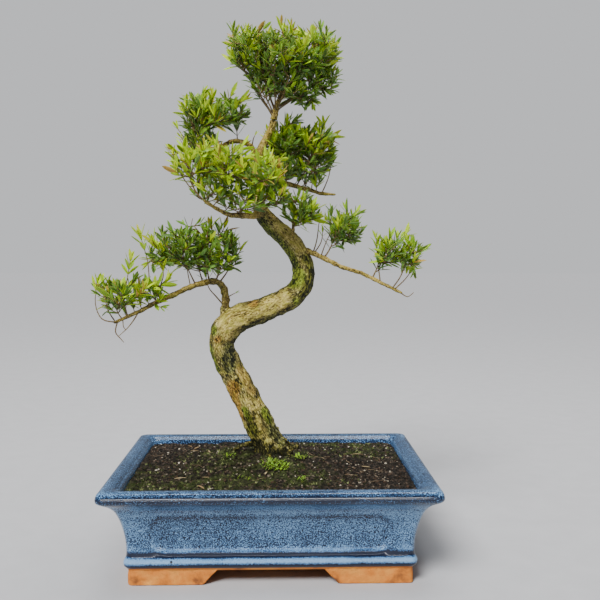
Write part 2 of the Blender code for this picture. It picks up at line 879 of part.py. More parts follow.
def shoot_sections(line):
    """Sections of a shoot's stem, and the numbers of those after which a pair of leaves grows."""
    start, middle, end = line
    length = (middle - start).length + (end - middle).length
    places = [0.0]
    if length > TWIG_BEND:
        places.append(BEND_AT * length - NODE_SPACING / 2)
    nodes = []
    for k in reversed(range(SHOOT_PAIRS)):
        node = length - NODE_TO_TIP - k * NODE_SPACING
        if node > places[-1] + 3 * NODE_HALF:
            nodes.append(len(places))
            places += [node - NODE_HALF, node + NODE_HALF]
    places.append(length)
    made = []
    across = None
    for place in places:
        t = place / length
        centre = point_on(line, t)
        axis = ((middle - start) * (1 - t) + (end - middle) * t).normalized()
        guide = across or TWIG_FACING
        over = axis.cross(guide).normalized()
        across = over.cross(axis).normalized()
        made.append((Section(centre, across, over, TWIG_HALF, TWIG_HALF), axis))
    return made, nodes


def root_on_side(section, following, axis, side):
    """The section that a leaf grows from: one side face of a node."""
    out = side.normalized()
    centre = (section.centre + following.centre) / 2 + out * TWIG_HALF
    return Section(centre, axis.cross(out).normalized(), axis, TWIG_HALF, NODE_HALF)


def face_towards(faces, centre):
    """The face whose middle is nearest to a point."""
    return min(faces, key=lambda face: (face.calc_center_median() - centre).length)


class Grower:
    """Adds leafy shoots to one branch."""

    def __init__(self, name, rng, space, repeats):
        self.name = name
        self.rng = rng
        self.space = space
        self.repeats = repeats

    def may_grow(self, root, way, length, width):
        """Takes up the space of a leaf if it is free."""
        near = root.centre + way * LEAF_CLEAR_FROM
        tip = root.centre + way * length
        if not self.space.is_free(self.name, near, tip, width / 2, LEAF_GAP):
            return False
        self.space.add(self.name, "leaf", near, tip, width / 2)
        return True

    def pair(self, bm, sides, section, following, axis, turned):
        """Grows two opposite leaves out of a node's sides."""
        across = section.over if turned else section.across
        roots = [root_on_side(section, following, axis, out) for out in (across, -across)]
        faces = [face_towards(sides, root.centre) for root in roots]
        for out, root, face in zip((across, -across), roots, faces):
            opened = LEAF_SPREAD * self.rng.uniform(*LEAF_SPREAD_VARIES)
            way = (axis * math.cos(opened) + out * math.sin(opened)).normalized()
            length, width = self.rng.choice(LEAF_SIZES)
            if self.may_grow(root, way, length, width):
                grow_leaf(bm, face, root, way, length, width)

    def shoot(self, line):
        """One stem with its crossed pairs of leaves and a leaf at the tip."""
        sections, nodes = shoot_sections(line)
        bm = bmesh.new()
        bmesh.ops.create_cube(bm, size=1)
        cube = Section(Vector((0, 0, 0)), Vector((1, 0, 0)), Vector((0, 1, 0)), 0.5, 0.5)
        top = max(bm.faces, key=lambda face: face.calc_center_median().z)
        upper = list(top.verts)
        lower = [vert for vert in bm.verts if vert not in upper]
        first, second = sections[0][0], sections[1][0]
        place_corners(lower, cube, first)
        place_corners(upper, cube, second)
        for number, (section, axis) in enumerate(sections[1:-1], start=1):
            following = sections[number + 1][0]
            known = set(bm.faces)
            top = extrude_to(bm, top, section, following)
            if number in nodes:
                sides = [face for face in bm.faces if face not in known and face != top]
                self.pair(bm, sides, section, following, axis, nodes.index(number) % 2)
        last, axis = sections[-1]
        length, width = self.rng.choice(LEAF_SIZES)
        turned = len(nodes) % 2
        root = last if turned else last._replace(across=last.over, over=last.across)
        if self.may_grow(root, axis, length, width):
            grow_leaf(bm, top, root, axis, length, width)
        shoot = mesh_object("shoot", bm, self.repeats)
        return shoot


def free_line(name, stems, target, rng, space):
    """A shoot's line to the target, or to a point close to it, that crosses no other node."""
    for _ in range(TRIES):
        start = best_start(stems, target)
        line = bent_line(start, target, rng)
        clear = all(
            space.is_free(name, a, b, TWIG_HALF, None) for a, b in zip(line, line[1:])
        )
        if clear and (target - start).length >= SHORTEST_TWIG:
            return line
        nudge = Vector((rng.uniform(-1, 1), rng.uniform(-1, 1), rng.uniform(-1, 1)))
        target = target + nudge * NUDGE
    return None


def build_branch(branch, parts, material, space):
    """One branch with its leafy shoots, fused into one piece."""
    rng = random.Random(branch.seed)
    stem_path = branch_stem(branch)
    stem = tube(branch.name, stem_path, STEM_BEVEL, parts, material)
    repeats = new_collection(f"{branch.name}_repeats")
    grower = Grower(branch.name, rng, space, repeats)
    grown = [point.xyz for point in cut_path(stem_path, FIRST_TWIG_FROM)]
    for pad in branch.pads:
        for target in spread_points(pad, rng):
            line = free_line(branch.name, grown, target, rng, space)
            if line is None:
                continue
            for a, b in zip(line, line[1:]):
                space.add(branch.name, "wood", a, b, TWIG_HALF)
            grown.append(point_on(line, FORK_AT))
            grower.shoot(line)
    union_all(stem, repeats)
    return stem


def middle_x(pieces):
    """The middle of all the pieces along X, to a tenth of a millimetre."""
    bpy.context.view_layer.update()
    ends = [(piece.matrix_world @ Vector(corner)).x for piece in pieces for corner in piece.bound_box]
    return round((min(ends) + max(ends)) / 2, 4)


def build():
    """Builds every part of the plant and its pot."""
    clear_scene()
    parts = new_collection("brush_cherry_bonsai")
    cutters = new_collection("cutters")
    glaze = new_material("blue_glaze", (0.10, 0.21, 0.42), 0.22)
    plastic = new_material("screen_plastic", (0.02, 0.02, 0.02), 0.6)
    earth = new_material("soil", (0.045, 0.035, 0.022), 0.95)
    bark = new_material("bark", (0.34, 0.27, 0.12), 0.85)
    foliage = new_material("foliage", (0.12, 0.26, 0.04), 0.4)

    build_trunk(parts, bark)
    space = Space()
    space.add_path("trunk", smooth_path(TRUNK, TRUNK_STEPS), 1.5 * BARK_LUMP)
    for branch in BRANCHES:
        if branch.collar:
            space.add_path("trunk", branch_collar(branch))
        space.add_path(branch.name, branch_stem(branch))
    for branch in BRANCHES:
        build_branch(branch, parts, foliage, space)

    build_pot(parts, cutters, glaze)
    screens = build_screens(parts, plastic)
    build_soil(parts, cutters, earth, screens)

    pieces = list(parts.objects)
    origin = bpy.data.objects.new("bonsai_origin", None)
    parts.objects.link(origin)
    for piece in pieces:
        piece.parent = origin
    origin.location.x = -middle_x(pieces)


build()
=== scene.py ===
"""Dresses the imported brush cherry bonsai: its glazed pot, soil, moss, bark, twigs and leaves.

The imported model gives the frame, and +Z is up. Sizes are in metres, except in the tables that say
millimetres. Places are measured from the middle of the pot, and every mesh is moved along X to
where the frame holds the pot, so that a finished piece's object sits at the origin.
"""

import itertools
import json
import logging
import math
import random
from collections.abc import Iterable, Sequence
from dataclasses import dataclass, field
from enum import Enum

import bmesh
import bpy
import numpy as np
from mathutils import Matrix, Vector, kdtree, noise

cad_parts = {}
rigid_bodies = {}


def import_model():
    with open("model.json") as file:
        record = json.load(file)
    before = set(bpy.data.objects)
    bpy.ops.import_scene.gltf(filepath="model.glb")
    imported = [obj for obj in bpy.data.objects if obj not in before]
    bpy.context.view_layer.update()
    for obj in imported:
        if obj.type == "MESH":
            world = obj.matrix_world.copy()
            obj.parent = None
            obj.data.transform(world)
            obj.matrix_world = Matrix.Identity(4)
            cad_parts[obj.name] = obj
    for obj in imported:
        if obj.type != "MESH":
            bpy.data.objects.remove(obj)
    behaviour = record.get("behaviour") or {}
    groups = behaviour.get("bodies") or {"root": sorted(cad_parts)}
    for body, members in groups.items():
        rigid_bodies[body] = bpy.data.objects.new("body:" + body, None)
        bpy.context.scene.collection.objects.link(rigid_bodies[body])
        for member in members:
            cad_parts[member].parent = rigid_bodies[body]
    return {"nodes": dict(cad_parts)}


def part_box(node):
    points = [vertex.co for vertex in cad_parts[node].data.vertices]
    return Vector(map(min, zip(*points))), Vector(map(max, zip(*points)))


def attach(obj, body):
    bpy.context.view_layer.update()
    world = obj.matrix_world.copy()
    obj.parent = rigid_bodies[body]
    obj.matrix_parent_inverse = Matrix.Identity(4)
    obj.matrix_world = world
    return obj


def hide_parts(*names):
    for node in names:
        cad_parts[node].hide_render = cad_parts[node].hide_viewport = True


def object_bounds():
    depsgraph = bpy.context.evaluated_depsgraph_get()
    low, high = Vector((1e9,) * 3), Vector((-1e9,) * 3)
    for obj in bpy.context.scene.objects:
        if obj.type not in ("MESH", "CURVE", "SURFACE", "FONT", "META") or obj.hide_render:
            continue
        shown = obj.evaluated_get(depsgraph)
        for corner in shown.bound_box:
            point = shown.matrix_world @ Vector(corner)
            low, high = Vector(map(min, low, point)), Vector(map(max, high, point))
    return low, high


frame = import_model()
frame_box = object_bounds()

logging.basicConfig(level=logging.INFO, format="%(name)s: %(message)s")
LOG = logging.getLogger("bonsai")

BODY = "root"
PICTURE_SIDE = 600
SENSOR = 36.0
WORLD_UP = Vector((0.0, 0.0, 1.0))
CORNERS = ((1, 1), (-1, 1), (-1, -1), (1, -1))

Colour = tuple[float, float, float]
Place = tuple[float, float, float]
Stops = tuple[tuple[float, Colour], ...]
Rows = tuple[tuple[float, ...], ...]
Socket = bpy.types.NodeSocket
Mesh = bpy.types.Mesh
Material = bpy.types.Material
Object = bpy.types.Object
Collection = bpy.types.Collection


class NodeTree:
    """A tree of shader or geometry nodes, with short calls that add to it."""

    def __init__(self, tree: bpy.types.NodeTree) -> None:
        """Keeps Blender's own tree."""
        self.tree = tree

    def node(self, kind: str, inputs: dict | None = None, **settings: object) -> bpy.types.Node:
        """Adds a node.

        Args:
            kind: Blender's name of the node type.
            inputs: a value or an output socket for each input, by name or number.
            settings: the node's own properties.

        Returns:
            The node.
        """
        made = self.tree.nodes.new(kind)
        for key, value in settings.items():
            setattr(made, key, value)
        for key, value in (inputs or {}).items():
            self.feed(made, key, value)
        return made

    def feed(self, node: bpy.types.Node, key: str | int, value: object) -> None:
        """Sets an input to a constant, or links an output to it."""
        if isinstance(value, Socket):
            self.tree.links.new(value, node.inputs[key])
        else:
            node.inputs[key].default_value = value

    def out(
        self, kind: str, inputs: dict | None = None, output: str | int = 0, **settings: object
    ) -> Socket:
        """Adds a node and gives one of its outputs."""
        return self.node(kind, inputs, **settings).outputs[output]

    def maths(self, how: str, *values: Socket | float, clamp: bool = False) -> Socket:
        """The result of one sum; clamp keeps it between 0 and 1."""
        return self.out("ShaderNodeMath", dict(enumerate(values)), operation=how, use_clamp=clamp)


class Shader(NodeTree):
    """One material's nodes, with short calls for those that the finishes use."""

    def __init__(self, name: str) -> None:
        """Starts a material with a Principled shader."""
        self.material = bpy.data.materials.new(name)
        self.material.use_nodes = True
        super().__init__(self.material.node_tree)

    def dressed(self, **values: object) -> Material:
        """The material once the shader's sockets are fed; an underscore in a name is a space."""
        for key, value in values.items():
            self.feed(self.tree.nodes["Principled BSDF"], key.replace("_", " "), value)
        return self.material

    def object_space(self, stretch: Place = (1.0, 1.0, 1.0)) -> Socket:
        """The point's place on the object, each axis multiplied by stretch."""
        return self.stretched(self.out("ShaderNodeTexCoord", output="Object"), stretch)

    def stretched(self, space: Socket, stretch: Place) -> Socket:
        """A place with each axis multiplied by stretch."""
        return self.out("ShaderNodeMapping", {"Vector": space, "Scale": stretch})

    def carried(self, name: str, output: str = "Fac") -> Socket:
        """What the mesh carries for each point: a number, or a vector from output Vector."""
        return self.out("ShaderNodeAttribute", None, output, attribute_name=name)

    def noise(
        self, space: Socket, scale: float, detail: float = 3.0, roughness: float = 0.55, twist: float = 0.0
    ) -> Socket:
        """A cloudy pattern from 0 to 1."""
        shape = {"Scale": scale, "Detail": detail, "Roughness": roughness, "Distortion": twist}
        return self.out("ShaderNodeTexNoise", {"Vector": space, **shape}, "Fac")

    def cells(self, space: Socket, scale: float) -> Socket:
        """Distance to the nearest of many scattered points."""
        return self.out("ShaderNodeTexVoronoi", {"Vector": space, "Scale": scale}, "Distance")

    def between(self, value: Socket, low: float, high: float) -> Socket:
        """0 up to low, 1 from high on, and smooth between them; high may be the smaller."""
        inputs = {"Value": value, "From Min": low, "From Max": high}
        return self.out("ShaderNodeMapRange", inputs, "Result", interpolation_type="SMOOTHSTEP", clamp=True)

    def ramp(self, value: Socket, stops: Stops) -> Socket:
        """A colour for each value between 0 and 1."""
        made = self.node("ShaderNodeValToRGB", {"Fac": value})
        elements = made.color_ramp.elements
        while len(elements) < len(stops):
            elements.new(0.5)
        for element, (place, colour) in zip(elements, stops):
            element.position = place
            element.color = (*colour, 1.0)
        return made.outputs["Color"]

    def mix(
        self, share: Socket | float, first: Socket, second: Socket | Colour, how: str = "MIX"
    ) -> Socket:
        """A blend of two colours.

        Args:
            share: how much of the second one shows.
            first: the colour at share 0.
            second: the colour at share 1.
            how: Blender's name of the blend.

        Returns:
            The blended colour.
        """
        second = (*second, 1.0) if isinstance(second, tuple) else second
        inputs = {0: share, 6: first, 7: second}
        return self.out("ShaderNodeMix", inputs, 2, data_type="RGBA", blend_type=how)

    def product(self, first: Socket, second: Socket | float) -> Socket:
        """Two numbers multiplied, kept between 0 and 1."""
        return self.maths("MULTIPLY", first, second, clamp=True)

    def less(self, value: Socket, amount: float) -> Socket:
        """A number less an amount, kept between 0 and 1."""
        return self.maths("SUBTRACT", value, amount, clamp=True)

    def layers(self, level: Socket | float, *patterns: tuple[Socket, float]) -> Socket:
        """A level with each pattern, times its weight, on top."""
        for pattern, weight in patterns:
            level = self.maths("MULTIPLY_ADD", pattern, weight, level)
        return level

    def relief(self, height: Socket, depth: float, over: Socket | None = None) -> Socket:
        """A normal bent by a height pattern.

        Args:
            height: the pattern, from 0 to 1.
            depth: the height of a full step, in metres.
            over: the normal of a coarser relief under it.

        Returns:
            The bent normal.
        """
        inputs = {"Height": height, "Distance": depth, "Strength": 1.0}
        if over:
            inputs["Normal"] = over
        return self.out("ShaderNodeBump", inputs, "Normal")


@dataclass(frozen=True)
class GlazeFinish:
    """Blue glaze, thick with dark specks, pale where it ran thin and black where it pooled, with painted
    light and painted shade from the mesh's masks.

    The shares say how much each pattern moves the glaze's lightness, calming how far the specks
    fade where the mesh says that the glaze is calm.
    """

    stops: Stops = (
        (0.398, (0.002, 0.006, 0.022)),
        (0.446, (0.014, 0.046, 0.122)),
        (0.490, (0.064, 0.160, 0.318)),
        (0.590, (0.180, 0.335, 0.540)),
    )
    pinhole: Colour = (0.010, 0.007, 0.008)
    speck_share: float = 0.86
    cloud_share: float = 0.07
    thin_and_lit_share: float = 0.16
    thick_and_shaded_share: float = -0.20
    darkening: float = 0.049
    calming: float = 0.60

    def material(self) -> Material:
        """The glaze as a material."""
        shader = Shader("blue_glaze")
        space = shader.object_space()
        clouds = shader.noise(space, 24.0, 3.0, 0.6)
        runs = shader.noise(shader.object_space((1.0, 1.0, 0.3)), 120.0, 3.0, 0.6)
        specks = shader.noise(space, 930.0, 1.0, 0.5)
        waves = shader.noise(space, 70.0, 2.0)
        calm = shader.carried("glaze_calm")
        calmed = shader.product(specks, shader.layers(1.0, (calm, -self.calming)))
        level = shader.layers(
            shader.layers(0.0, (calm, self.speck_share / 2 * self.calming)),
            (calmed, self.speck_share),
            (clouds, self.cloud_share),
            (runs, self.cloud_share),
            # The pale and dark masks hold painted light and shade as well as thin and thick glaze.
            (shader.carried("glaze_thin"), self.thin_and_lit_share),
            (shader.carried("glaze_thick"), self.thick_and_shaded_share),
        )
        base = shader.ramp(shader.less(level, self.darkening), self.stops)
        pits = shader.between(shader.cells(space, 42.0), 0.075, 0.045)
        rare = shader.between(shader.noise(space, 31.0, 1.0), 0.54, 0.58)
        return shader.dressed(
            Base_Color=shader.mix(shader.product(pits, rare), base, self.pinhole),
            Roughness=0.28,
            Specular_IOR_Level=0.25,
            Coat_Weight=0.60,
            Coat_Roughness=0.07,
            Normal=shader.relief(specks, 0.00010, shader.relief(waves, 0.0005)),
        )


@dataclass(frozen=True)
class TerracottaFinish:
    """Bare fired clay, smudged and pitted."""

    clay: Colour = (0.570, 0.180, 0.024)
    pale: Colour = (0.730, 0.320, 0.062)
    smudge: Colour = (0.150, 0.052, 0.020)

    def material(self) -> Material:
        """The clay as a material."""
        shader = Shader("bare_clay")
        space = shader.object_space()
        clouds = shader.noise(space, 45.0, 5.0, 0.6)
        grit = shader.noise(space, 900.0, 3.0, 0.6)
        lumps = shader.noise(space, 160.0)
        base = shader.ramp(clouds, ((0.30, self.smudge), (0.45, self.clay), (0.72, self.pale)))
        return shader.dressed(
            Base_Color=shader.mix(shader.between(grit, 0.62, 0.75), base, self.smudge),
            Roughness=0.78,
            Normal=shader.relief(grit, 0.0003, shader.relief(lumps, 0.0009)),
        )


class BarkTone(Enum):
    """What colours the bark in places: how much it lifts the bark's lightness, and its tint."""

    # Damp bark, with painted shade on faces that point down or back and along shaded edges.
    DAMP = (-0.046, (0.62, 0.80, 0.36))
    SLATE = (-0.012, (0.64, 0.80, 1.00))
    RUST = (0.016, (1.12, 0.66, 0.36))
    # Pale bark, with painted light on faces that point up and on lit places.
    PALE = (0.058, (1.15, 1.02, 0.72))
    MOSS = (-0.015, (0.54, 0.90, 0.24))
    EARTHY = (-0.092, (0.74, 0.80, 1.15))
    FAWN = (0.044, (1.12, 0.86, 0.60))

    @property
    def mask(self) -> str:
        """The attribute that holds the tone's mask."""
        return self.name.lower()


@dataclass(frozen=True)
class BarkFinish:
    """Fine-grained flaking bark of an old stem, tinted by algae, rust, moss and bare wood, and by painted
    shade and painted light.
    """

    stops: Stops = (
        (0.385, (0.018, 0.018, 0.007)),
        (0.435, (0.085, 0.074, 0.026)),
        (0.480, (0.280, 0.230, 0.096)),
        (0.530, (0.555, 0.475, 0.225)),
        (0.590, (0.920, 0.840, 0.520)),
    )
    relief: float = 0.0020
    contrast: float = 1.58
    middle: float = 0.509

    def material(self) -> Material:
        """The bark as a material; its pattern runs along the stem."""
        shader = Shader("bark")
        along = shader.stretched(shader.carried("bark_space", "Vector"), (1.0, 1.0, 0.62))
        patches = shader.noise(along, 95.0, 3.0, 0.60, 0.4)
        flakes = shader.noise(along, 210.0, 4.0, 0.65, 0.5)
        grain = shader.noise(along, 620.0, 4.0, 0.75, 0.3)
        level = shader.layers(0.0, (grain, 0.48), (flakes, 0.30), (patches, 0.22))
        masks = {}
        for tone in BarkTone:
            broken = shader.layers(shader.less(shader.carried(tone.mask), 0.35), (flakes, 0.7))
            masks[tone] = shader.between(broken, 0.10, 0.75)
            level = shader.layers(level, (masks[tone], tone.value[0]))
        spread = shader.layers(self.middle - 0.5 * self.contrast, (level, self.contrast))
        base = shader.ramp(spread, self.stops)
        for tone, mask in masks.items():
            base = shader.mix(mask, base, shader.mix(1.0, base, tone.value[1], "MULTIPLY"))
        normal = shader.relief(grain, self.relief, shader.relief(flakes, self.relief * 1.5))
        return shader.dressed(Base_Color=base, Roughness=0.82, Normal=normal)


@dataclass(frozen=True)
class TwigFinish:
    """Thin stems: brown where old, reddish and green towards their tips."""

    old: Stops = (
        (0.32, (0.040, 0.028, 0.014)),
        (0.55, (0.160, 0.112, 0.048)),
        (0.75, (0.320, 0.250, 0.110)),
    )
    young: Stops = ((0.35, (0.150, 0.050, 0.022)), (0.65, (0.190, 0.150, 0.035)))

    def material(self) -> Material:
        """The twigs as a material."""
        shader = Shader("twig_bark")
        mottle = shader.noise(shader.object_space(), 420.0, 4.0, 0.6)
        old, young = shader.ramp(mottle, self.old), shader.ramp(mottle, self.young)
        base = shader.mix(shader.carried("young"), old, young)
        return shader.dressed(Base_Color=base, Roughness=0.7, Normal=shader.relief(mottle, 0.0002))


@dataclass(frozen=True)
class LeafFinish:
    """Glossy evergreen blades, from deep green through yellow green to bronze at the tips."""

    stops: Stops = (
        (0.00, (0.032, 0.070, 0.016)),
        (0.25, (0.092, 0.188, 0.034)),
        (0.50, (0.170, 0.318, 0.025)),
        (0.75, (0.300, 0.500, 0.012)),
        (1.00, (0.450, 0.610, 0.012)),
    )
    varied: Stops = ((0.0, (0.35, 0.33, 0.30)), (0.5, (0.50, 0.50, 0.50)), (1.0, (0.66, 0.68, 0.72)))
    bronze: Colour = (0.360, 0.215, 0.045)
    midrib: Colour = (0.160, 0.340, 0.040)

    def material(self) -> Material:
        """The leaves as a material; tone and chance are carried by each leaf."""
        shader = Shader("leaf")
        tone, chance = shader.carried("tone"), shader.carried("chance")
        base = shader.mix(1.0, shader.ramp(tone, self.stops), shader.ramp(chance, self.varied), "OVERLAY")
        tips = shader.product(shader.between(chance, 0.84, 0.95), shader.between(tone, 0.66, 0.86))
        base = shader.mix(tips, base, self.bronze)
        rib = self.on_midrib(shader)
        return shader.dressed(
            Base_Color=shader.mix(shader.product(rib, 0.30), base, self.midrib),
            Roughness=0.40,
            Specular_IOR_Level=0.30,
            Subsurface_Weight=0.40,
            Subsurface_Radius=(1.0, 1.0, 0.35),
            Subsurface_Scale=0.0009,
            Normal=shader.relief(rib, 0.00025),
        )

    @staticmethod
    def on_midrib(shader: Shader) -> Socket:
        """1 on the midrib and 0 a little beside it."""
        seen = shader.out("ShaderNodeUVMap", output="UV", uv_map="blade")
        across = shader.out("ShaderNodeSeparateXYZ", {"Vector": seen}, "X")
        return shader.between(shader.maths("ABSOLUTE", shader.maths("SUBTRACT", across, 0.5)), 0.07, 0.02)


@dataclass(frozen=True)
class SoilFinish:
    """Dark compost with reddish bits, green where moss has taken."""

    stops: Stops = (
        (0.34, (0.003, 0.003, 0.002)),
        (0.50, (0.014, 0.011, 0.008)),
        (0.62, (0.058, 0.042, 0.030)),
        (0.74, (0.210, 0.165, 0.120)),
    )
    moss: Colour = (0.040, 0.051, 0.015)

    def material(self) -> Material:
        """The soil as a material."""
        shader = Shader("compost")
        space = shader.object_space()
        clods = shader.noise(space, 240.0, 5.0, 0.65)
        grains = shader.cells(space, 520.0)
        green = shader.product(shader.carried("moss"), shader.between(clods, 0.36, 0.56))
        return shader.dressed(
            Base_Color=shader.mix(green, shader.ramp(clods, self.stops), self.moss),
            Roughness=0.93,
            Normal=shader.relief(grains, 0.0012, shader.relief(clods, 0.0035)),
        )


@dataclass(frozen=True)
class ScatterFinish:
    """Many small things of one kind, whose colour varies with the chance that each carries."""

    name: str
    roughness: float
    stops: Stops
    dimming: Stops = ((0.3, (0.38, 0.38, 0.38)), (0.7, (0.60, 0.60, 0.60)))

    def material(self) -> Material:
        """The scattered things' material."""
        shader = Shader(self.name)
        mottle = shader.noise(shader.object_space(), 900.0, 2.0)
        base = shader.ramp(shader.carried("chance"), self.stops)
        return shader.dressed(
            Base_Color=shader.mix(1.0, base, shader.ramp(mottle, self.dimming), "OVERLAY"),
            Roughness=self.roughness,
            Normal=shader.relief(mottle, 0.0003),
        )


CRUMB = ScatterFinish(
    "crumb",
    0.95,
    (
        (0.0, (0.005, 0.004, 0.003)),
        (0.5, (0.016, 0.011, 0.007)),
        (0.76, (0.066, 0.038, 0.024)),
        (0.93, (0.150, 0.120, 0.085)),
        (1.0, (0.500, 0.450, 0.350)),
    ),
)
MOSS = ScatterFinish(
    "moss",
    0.9,
    (
        (0.0, (0.016, 0.024, 0.006)),
        (0.6, (0.050, 0.066, 0.018)),
        (0.9, (0.140, 0.170, 0.055)),
        (1.0, (0.380, 0.430, 0.160)),
    ),
)
FIBRE = ScatterFinish("fibre", 0.85, ((0.0, (0.100, 0.060, 0.030)), (1.0, (0.320, 0.240, 0.140))))
DRY_LEAF = ScatterFinish("dry_leaf", 0.6, ((0.0, (0.200, 0.120, 0.050)), (1.0, (0.430, 0.340, 0.180))))


@dataclass(frozen=True)
class PlasticFinish:
    """Black moulded plastic with a fine matt grain."""

    stops: Stops = ((0.3, (0.012, 0.012, 0.013)), (0.7, (0.030, 0.030, 0.032)))

    def material(self) -> Material:
        """The plastic as a material."""
        shader = Shader("screen_plastic")
        grain = shader.noise(shader.object_space(), 1500.0, 2.0)
        base = shader.ramp(grain, self.stops)
        return shader.dressed(Base_Color=base, Roughness=0.55, Normal=shader.relief(grain, 0.0001))


class Graph(NodeTree):
    """One Geometry Nodes tree, with short calls to build it and to grow an object with it."""

    def __init__(self, name: str) -> None:
        """Starts a tree that takes and gives geometry."""
        super().__init__(bpy.data.node_groups.new(name, "GeometryNodeTree"))
        for way in ("INPUT", "OUTPUT"):
            self.tree.interface.new_socket(name="Geometry", in_out=way, socket_type="NodeSocketGeometry")
        self.entry = self.tree.nodes.new("NodeGroupInput")
        self.start = self.entry.outputs["Geometry"]

    def option(self, name: str, kind: str) -> Socket:
        """Adds a named input and gives the socket with its value; kind is such as Float."""
        self.tree.interface.new_socket(name=name, in_out="INPUT", socket_type=f"NodeSocket{kind}")
        return self.entry.outputs[name]

    def carried(self, name: str, kind: str = "FLOAT") -> Socket:
        """The value of an attribute that the geometry carries."""
        return self.out("GeometryNodeInputNamedAttribute", {"Name": name}, "Attribute", data_type=kind)

    def chance(
        self, low: Socket | float, high: Socket | float, seed: Socket | int, whole: bool = False
    ) -> Socket:
        """A random number for each element, a whole one if asked."""
        kind, first, second, output = ("INT", 4, 5, 2) if whole else ("FLOAT", 2, 3, 1)
        inputs = {first: low, second: high, 8: seed}
        return self.out("FunctionNodeRandomValue", inputs, output, data_type=kind)

    def copies(self, shapes: str, points: Socket, pick: Socket, turn: Socket, scale: Socket) -> Socket:
        """Stands a shape on each point.

        Args:
            shapes: the name of the input that holds the collection of shapes.
            points: where they stand.
            pick: which of them each point takes.
            turn: how each is turned.
            scale: how large each is.

        Returns:
            The copies, as instances.
        """
        source = {"Collection": self.option(shapes, "Collection"), "Separate Children": True}
        info = self.out("GeometryNodeCollectionInfo", {**source, "Reset Children": True})
        inputs = {"Points": points, "Instance": info, "Pick Instance": True, "Instance Index": pick}
        return self.out("GeometryNodeInstanceOnPoints", {**inputs, "Rotation": turn, "Scale": scale})

    def closed(self, geometry: Socket) -> "Graph":
        """The tree, ended with Realize Instances and Set Material."""
        real = self.out("GeometryNodeRealizeInstances", {"Geometry": geometry})
        inputs = {"Geometry": real, "Material": self.option("Finish", "Material")}
        self.node("NodeGroupOutput", {"Geometry": self.out("GeometryNodeSetMaterial", inputs)})
        return self

    def grow(self, source: Object, values: dict[str, object]) -> Mesh:
        """Runs the tree on an object and gives the result as a plain mesh.

        Args:
            source: the object that the tree starts from; it is removed.
            values: what each named input is set to.

        Returns:
            The new mesh.
        """
        modifier = source.modifiers.new(self.tree.name, "NODES")
        modifier.node_group = self.tree
        for item in self.tree.interface.items_tree:
            if item.item_type == "SOCKET" and item.in_out == "INPUT" and item.name in values:
                modifier[item.identifier] = values[item.name]
        linked(source)
        mesh = evaluated_mesh(source)
        source.modifiers.remove(modifier)
        remove_object(source)
        return mesh


def leaf_spray_graph() -> Graph:
    """A tree that stands one blade on each point, turned and sized as the point says."""
    graph = Graph("leaf_spray")
    spread = graph.option("Size spread", "Float")
    low, high = graph.maths("SUBTRACT", 1.0, spread), graph.maths("ADD", 1.0, spread)
    varied = graph.chance(low, high, graph.option("Seed", "Int"))
    scale = graph.maths("MULTIPLY", graph.carried("size"), varied)
    scale = graph.maths("MULTIPLY", scale, graph.option("Leaf size", "Float"))
    points = graph.out("GeometryNodeMeshToPoints", {"Mesh": graph.start})
    turn = graph.out("FunctionNodeEulerToRotation", {0: graph.carried("turn", "FLOAT_VECTOR")})
    return graph.closed(graph.copies("Blades", points, graph.carried("kind", "INT"), turn, scale))


def twig_graph() -> Graph:
    """A tree that turns lines into round twigs of the radius that each point carries."""
    graph = Graph("twigs")
    line = graph.out("GeometryNodeMeshToCurve", {"Mesh": graph.start})
    ring = {"Resolution": graph.option("Sides", "Int"), "Radius": 1.0}
    profile = graph.out("GeometryNodeCurvePrimitiveCircle", ring)
    radius = graph.maths("MULTIPLY", graph.carried("radius"), graph.option("Thickness", "Float"))
    inputs = {"Curve": line, "Profile Curve": profile, "Scale": radius, "Fill Caps": True}
    tube = graph.out("GeometryNodeCurveToMesh", inputs)
    return graph.closed(graph.out("GeometryNodeSetShadeSmooth", {"Geometry": tube, "Shade Smooth": True}))


def scatter_graph() -> Graph:
    """A tree that strews shapes over a surface, thick where a mask that it carries is high."""
    graph = Graph("scatter")
    seed = graph.option("Seed", "Int")
    density = graph.maths("MULTIPLY", graph.carried("mask"), graph.option("Density", "Float"))
    inputs = {"Mesh": graph.start, "Density": density, "Seed": seed}
    points = graph.node("GeometryNodeDistributePointsOnFaces", inputs)
    spin = graph.out("FunctionNodeAxisAngleToRotation", {"Angle": graph.chance(0.0, math.tau, seed)})
    inputs = {"Rotation": points.outputs["Rotation"], "Rotate By": spin}
    turn = graph.out("FunctionNodeRotateRotation", inputs, rotation_space="LOCAL")
    scale = graph.chance(graph.option("Smallest", "Float"), graph.option("Largest", "Float"), seed)
    pick = graph.chance(0, 99, seed, whole=True)
    placed = graph.copies("Things", points.outputs["Points"], pick, turn, scale)
    inputs = {"Geometry": placed, "Name": "chance", "Value": graph.chance(0.0, 1.0, 7)}
    store = {"data_type": "FLOAT", "domain": "INSTANCE"}
    return graph.closed(graph.out("GeometryNodeStoreNamedAttribute", inputs, **store))


def linked(obj: Object) -> Object:
    """The object, once it is in the scene."""
    bpy.context.scene.collection.objects.link(obj)
    return obj


def remove_object(obj: Object) -> None:
    """Takes an object out of the file."""
    bpy.data.objects.remove(obj, do_unlink=True)


def evaluated_mesh(obj: Object) -> Mesh:
    """The object's mesh with its modifiers applied, attributes included."""
    bpy.context.view_layer.update()
    depsgraph = bpy.context.evaluated_depsgraph_get()
    ready = obj.evaluated_get(depsgraph)
    return bpy.data.meshes.new_from_object(ready, preserve_all_data_layers=True, depsgraph=depsgraph)


def with_modifiers(mesh: Mesh, settings: Iterable[tuple[str, dict]]) -> Mesh:
    """Runs a stack of modifiers on a mesh.

    Args:
        mesh: the mesh to start from.
        settings: each modifier's type and its properties.

    Returns:
        The new mesh.
    """
    carrier = linked(bpy.data.objects.new("carrier", mesh))
    for kind, values in settings:
        modifier = carrier.modifiers.new(kind.lower(), kind)
        for key, value in values.items():
            setattr(modifier, key, value)
    made = evaluated_mesh(carrier)
    remove_object(carrier)
    return made


